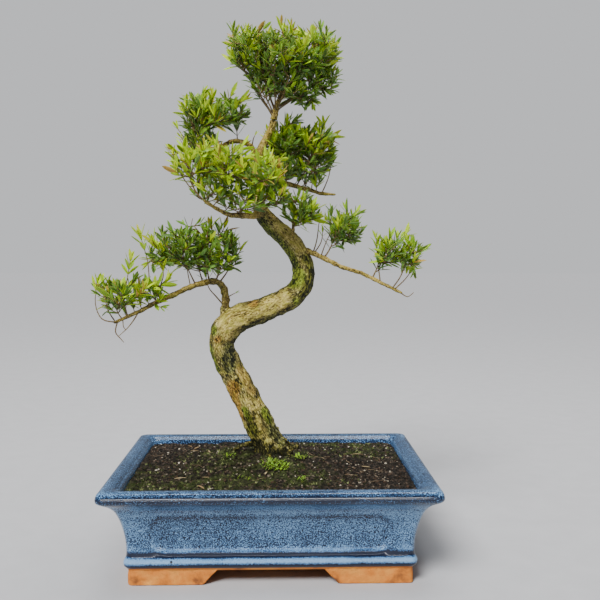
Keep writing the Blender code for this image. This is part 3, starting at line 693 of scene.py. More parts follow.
def with_booleans(mesh: Mesh, tools: Iterable[tuple[str, Mesh]], solver: str = "MANIFOLD") -> Mesh:
    """Joins or cuts a mesh with others, one after another.

    Args:
        mesh: the mesh to start from.
        tools: UNION or DIFFERENCE and the other mesh, for each step.
        solver: Blender's name of the way that it is done.

    Returns:
        The new mesh.
    """
    stack = []
    for how, tool in tools:
        other = linked(bpy.data.objects.new("tool", tool))
        stack.append(("BOOLEAN", {"operation": how, "solver": solver, "object": other}))
    made = with_modifiers(mesh, stack)
    for _, values in stack:
        remove_object(values["object"])
    return made


def mesh_of(name: str, points: Iterable, faces: Iterable = (), edges: Iterable = ()) -> Mesh:
    """A mesh from lists of points, edges and faces."""
    mesh = bpy.data.meshes.new(name)
    mesh.from_pydata([tuple(point) for point in points], list(edges), list(faces))
    mesh.update()
    return mesh


def mesh_from(name: str, bm: bmesh.types.BMesh) -> Mesh:
    """A mesh from an edited one, which is freed."""
    mesh = bpy.data.meshes.new(name)
    bm.to_mesh(mesh)
    bm.free()
    return mesh


def shelf(name: str, meshes: Iterable[Mesh]) -> Collection:
    """A collection with an object for each mesh, in the order given."""
    made = bpy.data.collections.new(name)
    bpy.context.scene.collection.children.link(made)
    for number, mesh in enumerate(meshes):
        made.objects.link(bpy.data.objects.new(f"{name}_{number}", mesh))
    return made


def clear_shelf(collection: Collection) -> None:
    """Removes a collection of source shapes with its objects."""
    for obj in list(collection.objects):
        remove_object(obj)
    bpy.data.collections.remove(collection)


def bands(rings: int, count: int) -> list[tuple[int, ...]]:
    """Faces between rings that have as many points each, in the order of their points."""
    faces = []
    for ring in range(rings - 1):
        for k in range(count):
            a, b = ring * count + k, ring * count + (k + 1) % count
            faces.append((a, b, b + count, a + count))
    return faces


def closed_bands(rings: int, count: int) -> list[tuple[int, ...]]:
    """The same faces, with the first and the last ring filled."""
    ends = [tuple(reversed(range(count))), tuple(range((rings - 1) * count, rings * count))]
    return bands(rings, count) + ends


def grid_faces(columns: int, rows: int) -> list[tuple[int, ...]]:
    """Faces of a grid whose points come row by row."""
    across = columns + 1
    starts = [row * across + column for row in range(rows) for column in range(columns)]
    return [(a, a + 1, a + 1 + across, a + across) for a in starts]


def carry(mesh: Mesh, name: str, values: Sequence, kind: str = "FLOAT") -> None:
    """Stores a value for each point of a mesh.

    Args:
        mesh: the mesh.
        name: the attribute's name.
        values: one value or vector for each point.
        kind: FLOAT, INT or FLOAT_VECTOR.
    """
    made = mesh.attributes.new(name, kind, "POINT")
    if kind == "FLOAT_VECTOR":
        made.data.foreach_set("vector", np.array([tuple(v) for v in values], np.float32).ravel())
    else:
        made.data.foreach_set("value", np.array(values, np.int32 if kind == "INT" else np.float32))


def pot_middle() -> Vector:
    """How far the frame holds the middle of the pot from the origin."""
    low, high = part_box("pot")
    return Vector(((low.x + high.x) / 2, 0.0, 0.0))


def stand(name: str, mesh: Mesh, slot: str, *nodes: str, material: Material | None = None) -> None:
    """Puts a finished mesh into the frame as one piece of the object.

    Args:
        name: the piece's name.
        mesh: its mesh, measured from the middle of the pot.
        slot: the record's slot that its finish belongs to; not used.
        nodes: the CAD nodes that it stands for.
        material: its finish, where the mesh has none yet.
    """
    mesh.name = name
    mesh.transform(Matrix.Translation(pot_middle()))
    if material:
        mesh.materials.clear()
        mesh.materials.append(material)
    piece = linked(bpy.data.objects.new(name, mesh))
    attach(piece, BODY)
    if nodes:
        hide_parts(*nodes)
    LOG.info("%s: %d faces", name, len(mesh.polygons))


def metres(row: Iterable[float]) -> tuple[float, ...]:
    """A row of a plan, which is in millimetres, in metres."""
    return tuple(value / 1000 for value in row)


def clamp(value: float, low: float = 0.0, high: float = 1.0) -> float:
    """The value kept between low and high."""
    return max(low, min(high, value))


def ease(share: float) -> float:
    """0 below 0, 1 above 1, and smooth between them."""
    share = clamp(share)
    return share * share * (3 - 2 * share)


def bump(value: float, centre: float, reach: float) -> float:
    """1 at the centre, falling smoothly to 0 a little beyond its reach."""
    return math.exp(-(((value - centre) / reach) ** 2))


def hill(x: float, y: float, centre: Sequence[float], reach: Sequence[float]) -> float:
    """1 at the centre, falling smoothly to 0 a little beyond its reach along either axis."""
    from_x, from_y = (x - centre[0]) / reach[0], (y - centre[1]) / reach[1]
    return math.exp(-from_x * from_x - from_y * from_y)


def rough(place: Vector, scale: float, octaves: int = 3) -> float:
    """Fractal noise about 0 at a place."""
    total, size = 0.0, 1.0
    for _ in range(octaves):
        total += noise.noise(place * scale) * size
        scale *= 2.1
        size *= 0.5
    return total


def on_circle(angle: float, radius: float = 1.0, rise: float = 0.0) -> Vector:
    """A point on a level circle round the origin, or above it."""
    return Vector((radius * math.cos(angle), radius * math.sin(angle), rise))


def smooth_path(points: Rows, steps: int) -> list[Vector]:
    """A smooth curve through points.

    Args:
        points: x, y, z and radius of each, in millimetres.
        steps: how many stretches the curve has between two of them.

    Returns:
        The curve's points, in metres.
    """
    made = []
    last = len(points) - 1
    for i in range(last):
        near = [points[clamp(i + k, 0, last)] for k in (-1, 0, 1, 2)]
        before, here, there, after = [Vector(metres(point)) for point in near]
        curve = 2 * before - 5 * here + 4 * there - after
        swing = 3 * here - before - 3 * there + after
        for step in range(steps):
            t = step / steps
            made.append(0.5 * (2 * here + (there - before) * t + curve * t * t + swing * t * t * t))
    made.append(Vector(metres(points[-1])))
    return made


def lengths_along(path: Sequence[Vector]) -> list[float]:
    """The length of the path up to each of its points."""
    made = [0.0]
    for here, there in zip(path, path[1:]):
        made.append(made[-1] + (there.xyz - here.xyz).length)
    return made


def frames_along(path: Sequence[Vector]) -> list[tuple[Vector, Vector]]:
    """Two side directions at each point of a path, without sudden turns."""
    made = []
    side = Vector((0.0, -1.0, 0.0))
    for i in range(len(path)):
        ahead = path[min(i + 1, len(path) - 1)].xyz - path[max(i - 1, 0)].xyz
        heading = ahead.normalized()
        side = (side - heading * side.dot(heading)).normalized()
        made.append((side, heading.cross(side)))
    return made


@dataclass
class Limb:
    """A round stem along a path whose points are x, y, z and radius."""

    path: list[Vector]
    sides: int

    def rings(self) -> tuple[list[Vector], list[Vector], list[tuple[int, ...]]]:
        """The closed tube round the path.

        Returns:
            Its points, each point's place in the stem's own space, and its faces.
        """
        points, own = [], []
        spans = lengths_along(self.path)
        for (side, over), point, span in zip(frames_along(self.path), self.path, spans):
            for k in range(self.sides):
                angle = math.tau * k / self.sides
                around = side * math.cos(angle) + over * math.sin(angle)
                points.append(point.xyz + around * point.w)
                own.append(on_circle(angle, point.w, span))
        return points, own, closed_bands(len(self.path), self.sides)


# Trunk from its buried foot up, as in the part's source: x, y, z and radius, in millimetres
TRUNK_PATH = (
    (4, 30, 82, 20), (0, 30, 102, 21.5), (-4, 30, 119, 18.8), (-18, 30, 147, 17.4), (-30, 30, 172, 16.6),
    (-42, 29, 197, 15.6), (-55, 27, 220, 14.9), (-61, 25, 239, 15), (-59, 23, 253, 15.8),
    (-52, 21, 264, 16.6), (-38, 19, 274, 16.4), (-16, 18, 281, 14.9), (1, 18, 288, 14.6),
    (17, 19, 295, 14.4), (31, 20, 306, 13.9), (38, 22, 322, 13.5), (36, 25, 340, 13),
    (27, 28, 358, 12.8), (14, 29, 372, 12), (2, 30, 383, 11.2), (-9, 31, 395, 10), (-16, 33, 410, 8.5),
    (-18, 35, 430, 7.3), (-18, 35, 457, 6.1), (-10, 33, 482, 5.2), (-1, 30, 498, 4.7), (2, 28, 509, 4.4),
)
# How far a branch's wood reaches back into its collar, in metres
COLLAR_OVERLAP = 0.012
# Roots that flare from the trunk's foot and dip into the soil: x, y, z and radius, in millimetres
SURFACE_ROOTS = (
    (
        (-10, 26, 121, 5.6), (-22, 27, 118.5, 3.6), (-33, 29, 116.5, 2.7), (-43, 32, 112, 1.9),
        (-52, 35, 106, 1.3),
    ),
    ((0, 24, 124, 9), (9, 16, 115, 7.6), (19, 10, 108, 6.2), (28, 6, 100, 4)),
    ((-8, 22, 130, 9), (-5, 14, 116, 8.8), (-1, 8, 103, 7)),
    ((4, 34, 120, 8.6), (18, 38, 110, 6.4), (32, 46, 102, 4)),
    ((-4, 38, 122, 9), (-8, 52, 111, 6.4), (-18, 64, 102, 4)),
)


@dataclass(frozen=True)
class BarkStreak:
    """A streak of one tone along the trunk's front.

    start and end are lengths along the trunk and reach is half its width, in millimetres. side
    runs from -1, the trunk's left or upper edge, to 1, its right or lower one.
    """

    tone: BarkTone
    start: float
    end: float
    side: float
    reach: float

    def places(self) -> list[Vector]:
        """Points on the bark along the streak's middle, no further apart than its reach."""
        path = smooth_path(TRUNK_PATH, 8)
        spans = lengths_along(path)
        steps = math.ceil((self.end - self.start) / self.reach)
        forward = Vector((0.0, -math.sqrt(1 - self.side * self.side), 0.0))
        made = []
        for step in range(steps + 1):
            along = (self.start + (self.end - self.start) * step / max(1, steps)) / 1000
            i = next(k for k, span in enumerate(spans) if span >= along)
            way = path[i + 1].xyz - path[i - 1].xyz
            right = Vector((way.z, 0.0, -way.x)).normalized()
            made.append(path[i].xyz + (right * self.side + forward) * path[i].w)
        return made


def toned(tone: BarkTone, *rows: tuple[float, ...]) -> list[BarkStreak]:
    """Streaks of one tone, each given by its start, end, side and reach."""
    return [BarkStreak(tone, *row) for row in rows]


# A later streak covers an earlier one where they cross
BARK_STREAKS = (
    # Pale streaks are pale bark and painted light where the bark is lit.
    *toned(
        BarkTone.PALE,
        (61, 69, 0.1, 6), (87, 100, 0.1, 7), (90, 90, 0.7, 7), (142, 142, -0.7, 6),
        (173, 173, -0.2, 9), (189, 189, 0.5, 9), (199, 199, -0.1, 14), (209, 216, -0.4, 9),
        (228, 247, -0.4, 11), (267, 267, -0.3, 11), (282, 282, -0.5, 7),
    ),
    *toned(
        BarkTone.RUST,
        (80, 111, -0.8, 8), (121, 121, -0.4, 10), (179, 179, -0.3, 6), (234, 234, -0.8, 7),
        (287, 287, -0.7, 5),
    ),
    *toned(BarkTone.FAWN, (104, 135, 0.7, 8), (390, 390, 0.7, 8)),
    *toned(
        BarkTone.SLATE,
        (33, 57, 0.8, 10), (142, 142, 0.0, 8), (154, 154, 0.3, 9), (169, 169, 0.7, 8),
    ),
    *toned(
        BarkTone.MOSS,
        (65, 76, 0.8, 7), (76, 90, -0.4, 5), (132, 132, -1.0, 6), (151, 167, -0.9, 8),
        (186, 186, -0.8, 7), (285, 302, 0.6, 8), (311, 311, -0.1, 10), (300, 398, -0.8, 9),
    ),
    # Damp streaks are damp bark and painted shade along the trunk's shaded edges and inside its bends.
    *toned(
        BarkTone.DAMP,
        (65, 65, -0.5, 8), (181, 181, 1.0, 6), (209, 271, 1.0, 6), (293, 320, 0.8, 9),
        (331, 331, 0.5, 6), (249, 262, -1.0, 5),
    ),
    # Painted light on the upper bend, where the leaves above shade it.
    *toned(BarkTone.PALE, (346, 380, 0.5, 8)),
)


def bark_masks(
    points: np.ndarray, normals: np.ndarray, streaks: Sequence[BarkStreak]
) -> dict[str, np.ndarray]:
    """How strongly each tone shows at each point of a stem.

    Args:
        points: the stem's points, one a row.
        normals: their outward directions.
        streaks: the places that have a tone of their own.

    Returns:
        A mask from 0 to 1 for each tone, under its attribute's name.
    """
    cloud = np.array([rough(Vector(p), 42.0, 2) for p in points])
    under = np.clip(-normals[:, 2], 0, 1)
    above = np.clip(normals[:, 2], 0, 1)
    behind = np.clip(normals[:, 1], 0, 1)
    in_crown = np.clip((points[:, 2] - 0.385) / 0.040, 0, 0.9)
    at_foot = np.clip((0.136 - points[:, 2]) / 0.020, 0, 0.9)
    # Painted shade: the damp tone grows on faces that point down or back, and rust keeps off undersides;
    # painted light: the pale tone grows on faces that point up.
    masks = {
        BarkTone.DAMP.mask: 0.10 + 0.60 * under + 0.25 * behind + 0.45 * cloud,
        BarkTone.SLATE.mask: np.clip(-0.10 - 0.9 * cloud, 0, 0.4),
        BarkTone.RUST.mask: np.clip(0.12 + 0.5 * cloud - 0.3 * under, 0, 0.5),
        BarkTone.PALE.mask: 0.16 + 0.30 * above - 0.5 * cloud,
        BarkTone.MOSS.mask: np.clip(0.4 * cloud - 0.15, 0, 0.4),
        BarkTone.FAWN.mask: in_crown * (0.75 + 0.5 * cloud),
        BarkTone.EARTHY.mask: at_foot * (0.85 + 0.6 * cloud),
    }
    for streak in streaks:
        middles = [np.linalg.norm(points - np.array(place), axis=1) for place in streak.places()]
        near = np.exp(-((1000 * np.min(middles, axis=0) / streak.reach) ** 2) * 0.8)
        for tone in BarkTone:
            masks[tone.mask] = masks[tone.mask] * (1 - near) + near * (0.95 if tone is streak.tone else 0.0)
    return {name: np.clip(mask, 0, 1) for name, mask in masks.items()}


def dress_bark(mesh: Mesh, own: Sequence[Vector], streaks: Sequence[BarkStreak] = ()) -> None:
    """Gives a stem what its finish reads: its own space and the tones' masks.

    Args:
        mesh: the stem.
        own: each point's place in the stem's own space.
        streaks: the places that have a tone of their own; a thin stem has none and is fawn.
    """
    points, normals = np.zeros(len(own) * 3), np.zeros(len(own) * 3)
    mesh.vertices.foreach_get("co", points)
    mesh.vertices.foreach_get("normal", normals)
    masks = bark_masks(points.reshape(-1, 3), normals.reshape(-1, 3), streaks)
    if not streaks:
        masks[BarkTone.FAWN.mask] = np.maximum(masks[BarkTone.FAWN.mask], 0.62)
    carry(mesh, "bark_space", own, "FLOAT_VECTOR")
    for name, mask in masks.items():
        carry(mesh, name, mask)


class PadTone(Enum):
    """How many of a pad's shoots are young and pale."""

    MATURE = 0.12
    MIXED = 0.30
    FRESH = 0.70


@dataclass(frozen=True)
class Pad:
    """One cushion of leaves: its middle and its half sizes, in millimetres, and its shoots.

    low is the lowest height that its shoots reach, from 1 at its top to -1 at its bottom, and
    leafy the share of each shoot that bears leaves.
    """

    centre: Place
    reach: Place
    shoots: int
    tone: PadTone = PadTone.MATURE
    low: float = -0.9
    leafy: float = 0.8


@dataclass(frozen=True)
class Leader:
    """A shoot that stands by itself: its points, pairs of leaves, their length and tone.

    Its points, the leaves' length and its radius are in millimetres.
    """

    points: Rows
    pairs: int = 0
    leaf: float = 16
    tone: float = 0.8
    radius: float = 0.9


@dataclass(frozen=True)
class BranchPlan:
    """One branch: the length of its collar on the trunk, its path, its pads and lone shoots.

    Its lengths are in millimetres, and its path is x, y, z and radius.
    """

    name: str
    collar: float
    seed: int
    path: Rows
    pads: tuple[Pad, ...]
    leaders: tuple[Leader, ...] = ()


LOWER_LEFT = BranchPlan(
    name="lower_left_branch", collar=33, seed=11,
    path=(
        (-56, 22, 262, 6), (-57, 19, 281, 5.2), (-55, 14, 293, 4.7), (-56, 10, 305, 4.3),
        (-60, 5, 314, 3.8), (-69, 0, 318, 3.6), (-83, -6, 315, 3.4), (-97, -12, 311, 3.2),
        (-111, -17, 304, 3.1), (-125, -21, 298, 3), (-139, -25, 291, 2.7), (-150, -28, 285, 2.3),
        (-163, -30, 279, 2), (-178, -32, 272, 1.5),
    ),
    pads=(
        Pad((-100, -8, 356), (27, 28, 23), 46, leafy=0.7),
        Pad((-63, -4, 352), (27, 28, 26), 52, leafy=0.7),
        Pad((-82, -6, 340), (26, 20, 10), 14, leafy=0.5),
        Pad((-128, -22, 344), (13, 18, 18), 9, PadTone.MIXED, low=-0.5, leafy=0.7),
        Pad((-172, -30, 300), (24, 20, 20), 20, PadTone.MIXED, low=-0.8, leafy=0.85),
        Pad((-138, -28, 306), (18, 18, 14), 11, PadTone.MIXED, low=-0.8, leafy=0.9),
    ),
    leaders=(
        Leader(((-176, -32, 273), (-191, -34, 277), (-198, -34, 294), (-196, -34, 317)), 3, 21, 0.95),
        Leader(((-66, 1, 318), (-60, -4, 332), (-56, -6, 347)), radius=1.2),
        Leader(((-73, -2, 318), (-74, -10, 333), (-70, -14, 348)), radius=1.1),
        Leader(((-80, -5, 316), (-84, -4, 330), (-88, 0, 345)), radius=1.1),
        Leader(((-88, -8, 314), (-94, -14, 328), (-100, -16, 342)), radius=1.1),
        Leader(((-62, 4, 316), (-52, 6, 330), (-46, 8, 344)), radius=1.2),
        Leader(((-176, -32, 273), (-184, -36, 288), (-186, -38, 304), (-188, -38, 318)), 3, 18, 0.8),
        Leader(((-163, -30, 280), (-166, -34, 300), (-162, -34, 322), (-158, -34, 345)), 5, 18, 0.86),
        Leader(((-131, -23, 295), (-138, -26, 318), (-140, -28, 342), (-148, -30, 372)), 5, 20, 0.9),
        Leader(((-124, -21, 299), (-126, -28, 312), (-122, -30, 326), (-124, -30, 338)), 3, 18, 0.97),
        Leader(((-174, -32, 273), (-176, -33, 262), (-170, -33, 254), (-167, -32, 250))),
        Leader(((-151, -28, 284), (-156, -31, 275), (-163, -33, 266), (-173, -33, 257)), radius=1.0),
        Leader(((-168, -31, 275), (-167, -33, 268), (-164, -33, 264)), radius=0.7),
        Leader(((-58, 14, 290), (-66, 8, 300), (-74, 1, 311), (-77, -4, 326)), 3, 16, 0.3, radius=1.1),
        Leader(((-94, -10, 313), (-98, -12, 340), (-96, -10, 368), (-91, -8, 391)), radius=0.7),
        Leader(((-132, -23, 294), (-128, -32, 291), (-122, -36, 290)), 2, 14, 0.4),
        Leader(((-54, 12, 298), (-47, 6, 302), (-43, 4, 304)), 1, 11, 0.2),
    ),
)

LOWER_RIGHT = BranchPlan(
    name="lower_right_branch", collar=22, seed=24,
    path=(
        (27, 27, 356, 5.5), (36, 21, 355, 4.2), (47, 15, 352, 3.3), (68, 6, 342, 2.8), (82, 0, 335, 2.6),
        (104, -6, 328, 2.3), (123, -10, 319, 2.1), (141, -14, 310, 1.8), (151, -16, 305, 1.5),
    ),
    pads=(
        Pad((86, 4, 379), (20, 20, 19), 30, PadTone.MIXED, leafy=0.74),
        Pad((136, -12, 351), (14, 18, 19), 16, PadTone.MIXED, leafy=0.74),
        Pad((159, -12, 346), (13, 18, 19), 16, PadTone.MIXED, leafy=0.74),
    ),
    leaders=(
        Leader(((49, 14, 352), (53, 10, 366), (55, 8, 382), (56, 6, 392)), 1, 19, 1.0),
        Leader(((50, 13, 351), (58, 6, 364), (60, 4, 379)), 3, 10, 0.6),
        Leader(((58, 10, 347), (62, 2, 360), (69, 0, 376)), 2, 10, 0.4),
        Leader(((126, -11, 318), (124, -10, 334), (122, -10, 352), (121, -10, 370)), 5, 14, 0.7),
        Leader(((140, -14, 311), (150, -14, 326), (156, -14, 346), (157, -14, 366)), 6, 14, 0.75),
        Leader(((143, -14, 310), (155, -16, 322), (166, -16, 338)), 4, 15, 0.7),
        Leader(((150, -16, 305), (157, -18, 301), (164, -18, 306)), radius=0.8),
    ),
)

FRONT = BranchPlan(
    name="front_branch", collar=18, seed=37,
    path=(
        (-11, 30, 398, 6), (-16, 16, 397, 4.8), (-22, 3, 395, 4), (-34, -12, 394, 3.3),
        (-46, -24, 394, 2.8), (-60, -34, 400, 2.2), (-76, -40, 410, 1.6),
    ),
    pads=(
        Pad((-86, -38, 446), (24, 22, 19), 30, PadTone.FRESH, low=-0.6, leafy=0.62),
        Pad((-52, -40, 442), (29, 30, 26), 54, PadTone.FRESH, low=-0.6, leafy=0.6),
        Pad((-12, -36, 434), (26, 28, 22), 44, PadTone.FRESH, low=-0.6, leafy=0.6),
        Pad((-66, -36, 420), (22, 22, 14), 16, PadTone.MIXED, leafy=0.5),
        Pad((-32, -32, 410), (30, 24, 14), 24, PadTone.MIXED, leafy=0.5),
        Pad((6, -30, 414), (14, 20, 14), 12, PadTone.MIXED, leafy=0.5),
    ),
    leaders=(
        Leader(((-74, -40, 409), (-90, -42, 424), (-102, -42, 442), (-109, -42, 460)), 3, 19, 1.0),
        Leader(((0, -30, 418), (6, -40, 426), (8, -44, 436)), 2, 20, 1.0),
    ),
)

TUFT = BranchPlan(
    name="front_tuft", collar=16, seed=41,
    path=(
        (19, 28, 366, 3.5), (24, 16, 370, 2.6), (25, 6, 380, 2), (25, 0, 394, 1.5),
    ),
    pads=(
        Pad((34, -4, 398), (21, 18, 16), 28, PadTone.MIXED, leafy=0.85),
    ),
)

UPPER_LEFT = BranchPlan(
    name="upper_left_branch", collar=14, seed=53,
    path=(
        (-18, 35, 456, 4.4), (-20, 30, 468, 3.6), (-25, 27, 478, 3.1), (-33, 25, 482, 2.9),
        (-41, 24, 484, 2.8), (-51, 24, 482, 2.6), (-60, 25, 477, 2.4), (-69, 26, 470, 2.2),
        (-79, 28, 464, 1.9), (-90, 30, 466, 1.5),
    ),
    pads=(
        Pad((-88, 28, 512), (17, 24, 22), 32, PadTone.MIXED, leafy=0.85),
        Pad((-84, 28, 488), (18, 22, 18), 24, low=-0.95, leafy=0.9),
        Pad((-56, 24, 514), (26, 26, 16), 38, low=-0.85, leafy=0.75),
    ),
    leaders=(
        Leader(((-88, 30, 466), (-96, 28, 486), (-100, 26, 506), (-101, 24, 527)), 5, 19, 0.92),
        Leader(((-72, 26, 480), (-78, 22, 505), (-79, 20, 535)), 1, 8, 1.0),
        Leader(((-88, 30, 466), (-100, 26, 478), (-108, 24, 488)), 2, 13, 0.95),
        Leader(((-24, 28, 477), (-22, 22, 486), (-20, 20, 490)), 1, 16, 0.8),
        Leader(((-90, 30, 468), (-103, 26, 486), (-113, 24, 500)), 2, 14, 0.8),
    ),
)

UPPER_RIGHT = BranchPlan(
    name="upper_right_branch", collar=16, seed=67,
    path=(
        (-18, 34, 430, 6), (-10, 40, 433, 4.6), (0, 46, 435, 3.7), (17, 52, 436, 3.1),
        (42, 57, 430, 2.6), (61, 60, 425, 2.2), (79, 62, 424, 1.4),
    ),
    pads=(
        Pad((18, 54, 486), (26, 28, 20), 42, PadTone.MIXED),
        Pad((50, 58, 482), (26, 30, 23), 46, PadTone.MIXED),
        Pad((14, 52, 456), (26, 24, 18), 28),
        Pad((46, 57, 452), (22, 24, 16), 20, leafy=0.6),
        Pad((64, 60, 466), (14, 20, 16), 10, leafy=0.7),
    ),
    leaders=(
        Leader(((40, 57, 432), (52, 50, 462), (58, 48, 505)), 4, 15, 0.9),
        Leader(((18, 52, 436), (14, 44, 470), (18, 40, 506)), 4, 14, 0.75),
        Leader(((30, 55, 434), (40, 48, 450), (46, 46, 462)), radius=1.0),
        Leader(((62, 60, 426), (70, 56, 446), (74, 54, 470)), 4, 14, 0.5),
    ),
)

APEX = BranchPlan(
    name="apex", collar=0, seed=79,
    path=(
        (2, 28, 509, 4.4), (5, 27, 522, 3.6), (10, 28, 538, 2.1), (17, 30, 556, 1.4),
    ),
    pads=(
        Pad((-24, 26, 586), (26, 30, 25), 44, PadTone.MIXED),
        Pad((10, 18, 582), (26, 34, 28), 48),
        Pad((50, 32, 586), (28, 34, 27), 52, PadTone.MIXED),
        Pad((58, 32, 557), (21, 24, 16), 24, leafy=0.85),
        Pad((14, 24, 556), (24, 22, 18), 26),
        Pad((-16, 26, 562), (14, 20, 14), 14),
        Pad((42, 30, 537), (14, 16, 11), 12),
        Pad((22, 24, 542), (20, 20, 11), 16, leafy=0.7),
        Pad((-8, 24, 546), (16, 18, 12), 16, leafy=0.55),
    ),
    leaders=(
        Leader(((3, 27, 512), (-10, 24, 532), (-28, 24, 560)), radius=2.0),
        Leader(((5, 27, 518), (-4, 20, 540), (-10, 16, 566)), radius=1.7),
        Leader(((8, 27, 532), (22, 18, 548), (30, 14, 568)), radius=1.5),
        Leader(((6, 27, 524), (30, 34, 540), (56, 36, 556)), radius=1.4),
        Leader(((5, 27, 520), (26, 26, 534), (42, 30, 544)), radius=1.1),
        Leader(((4, 28, 518), (-2, 38, 540), (-6, 44, 564)), radius=1.3),
        Leader(((3, 27, 513), (-4, 18, 528), (-18, 12, 550)), radius=1.3),
        Leader(((4, 26, 517), (4, 14, 534), (2, 6, 556)), radius=1.4),
        Leader(((6, 26, 522), (14, 14, 538), (20, 6, 556)), radius=1.2),
        Leader(((5, 28, 519), (18, 38, 534), (30, 46, 552)), radius=1.2),
        Leader(((3, 28, 514), (-8, 34, 528), (-22, 40, 548)), radius=1.2),
        Leader(((-28, 24, 560), (-40, 22, 584), (-42, 22, 612)), 4, 15, 0.95),
        Leader(((-26, 24, 562), (-40, 20, 572), (-46, 18, 584)), 3, 15, 0.8),
        Leader(((16, 16, 580), (18, 14, 600), (17, 14, 612)), 3, 13, 0.85),
        Leader(((46, 30, 580), (50, 26, 600), (52, 26, 614)), 3, 13, 0.98),
        Leader(((56, 36, 556), (66, 34, 562), (74, 34, 570)), 3, 15, 0.7),
        Leader(((-6, 18, 570), (-14, 12, 590), (-16, 10, 606)), 4, 15, 0.9),
        Leader(((20, 14, 580), (24, 12, 600), (22, 12, 617)), 4, 15, 0.95),
        Leader(((-30, 24, 580), (-32, 22, 598), (-30, 22, 614)), 4, 14, 0.95),
        Leader(((60, 34, 580), (66, 32, 596), (68, 32, 608)), 4, 15, 0.9),
        Leader(((2, 10, 556), (4, -4, 566), (3, -6, 580)), 2, 19, 0.85),
    ),
)
BRANCHES = (LOWER_LEFT, LOWER_RIGHT, FRONT, TUFT, UPPER_LEFT, UPPER_RIGHT, APEX)


class BladeKind(Enum):
    """Shapes of a leaf: width as a share of length, fold, droop and sideways bend."""

    SLIM = (0.20, 0.22, 0.08, 0.02)
    BROAD = (0.30, 0.16, 0.06, -0.02)
    CURLED = (0.23, 0.30, 0.16, 0.03)
    FLAT = (0.26, 0.10, 0.02, -0.03)


@dataclass
class BladeSet:
    """The few blades that every leaf is a copy of, one unit long.

    A section is a place along the blade and its width there, as a share of the largest.
    """

    sections: Rows = ((0.00, 0.14), (0.20, 0.66), (0.50, 1.00), (0.80, 0.72))
    thickness: float = 0.022

    def mesh(self, kind: BladeKind) -> Mesh:
        """One closed blade along +Y with its upper side towards +Z."""
        width, fold, droop, bend = kind.value
        points, uvs = [], []
        for along, share in self.sections:
            half = share * width / 2
            aside, down = bend * along * along, -droop * along * along
            margin = down + fold * half
            keel = down - self.thickness * (0.4 + 0.6 * share)
            points += [(aside - half, along, margin), (aside, along, down)]
            points += [(aside + half, along, margin), (aside, along, keel)]
            uvs += [(0.0, along), (0.5, along), (1.0, along), (0.5, along)]
        tip = len(points)
        points.append((bend, 1.0, -droop))
        uvs.append((0.5, 1.0))
        ends = [(tip - 4 + k, tip - 4 + (k + 1) % 4, tip) for k in range(4)]
        mesh = mesh_of("blade", points, [(3, 2, 1, 0), *bands(len(self.sections), 4), *ends])
        layer = mesh.uv_layers.new(name="blade")
        for loop in mesh.loops:
            layer.data[loop.index].uv = uvs[loop.vertex_index]
        mesh.shade_smooth()
        sharp = mesh.attributes.new("sharp_edge", "BOOLEAN", "EDGE")
        for edge in mesh.edges:
            sharp.data[edge.index].value = all(v % 4 in (0, 2) or v == tip for v in edge.vertices)
        return mesh

    def shelf(self) -> Collection:
        """The blades in one collection, in the order of their kinds."""
        return shelf("blades", [self.mesh(kind) for kind in BladeKind])


@dataclass
class Leaf:
    """One leaf: its root, heading and upper side, its length, kind, tone and chance."""

    root: Vector
    way: Vector
    upper: Vector
    length: float
    kind: int
    tone: float
    chance: float

    def axes(self) -> tuple[Vector, Vector, Vector]:
        """The blade's directions: across, along, and out of its upper side."""
        across = self.way.cross(self.upper).normalized()
        return across, self.way, across.cross(self.way)

    def turn(self) -> tuple[float, float, float]:
        """The rotation that lays the blade along its heading."""
        return tuple(Matrix(self.axes()).transposed().to_euler())

    def tip(self) -> Vector:
        """Where the leaf ends, with its droop."""
        across, along, upper = self.axes()
        _, _, droop, bend = list(BladeKind)[self.kind].value
        return self.root + (along - upper * droop + across * bend) * self.length


def leaf_object(leaves: Sequence[Leaf]) -> Object:
    """Leaves as points that carry how each blade stands."""
    mesh = mesh_of("leaf_points", [leaf.root for leaf in leaves])
    carry(mesh, "turn", [leaf.turn() for leaf in leaves], "FLOAT_VECTOR")
    carry(mesh, "size", [leaf.length for leaf in leaves])
    carry(mesh, "kind", [leaf.kind for leaf in leaves], "INT")
    carry(mesh, "tone", [leaf.tone for leaf in leaves])
    carry(mesh, "chance", [leaf.chance for leaf in leaves])
    return bpy.data.objects.new("leaf_points", mesh)


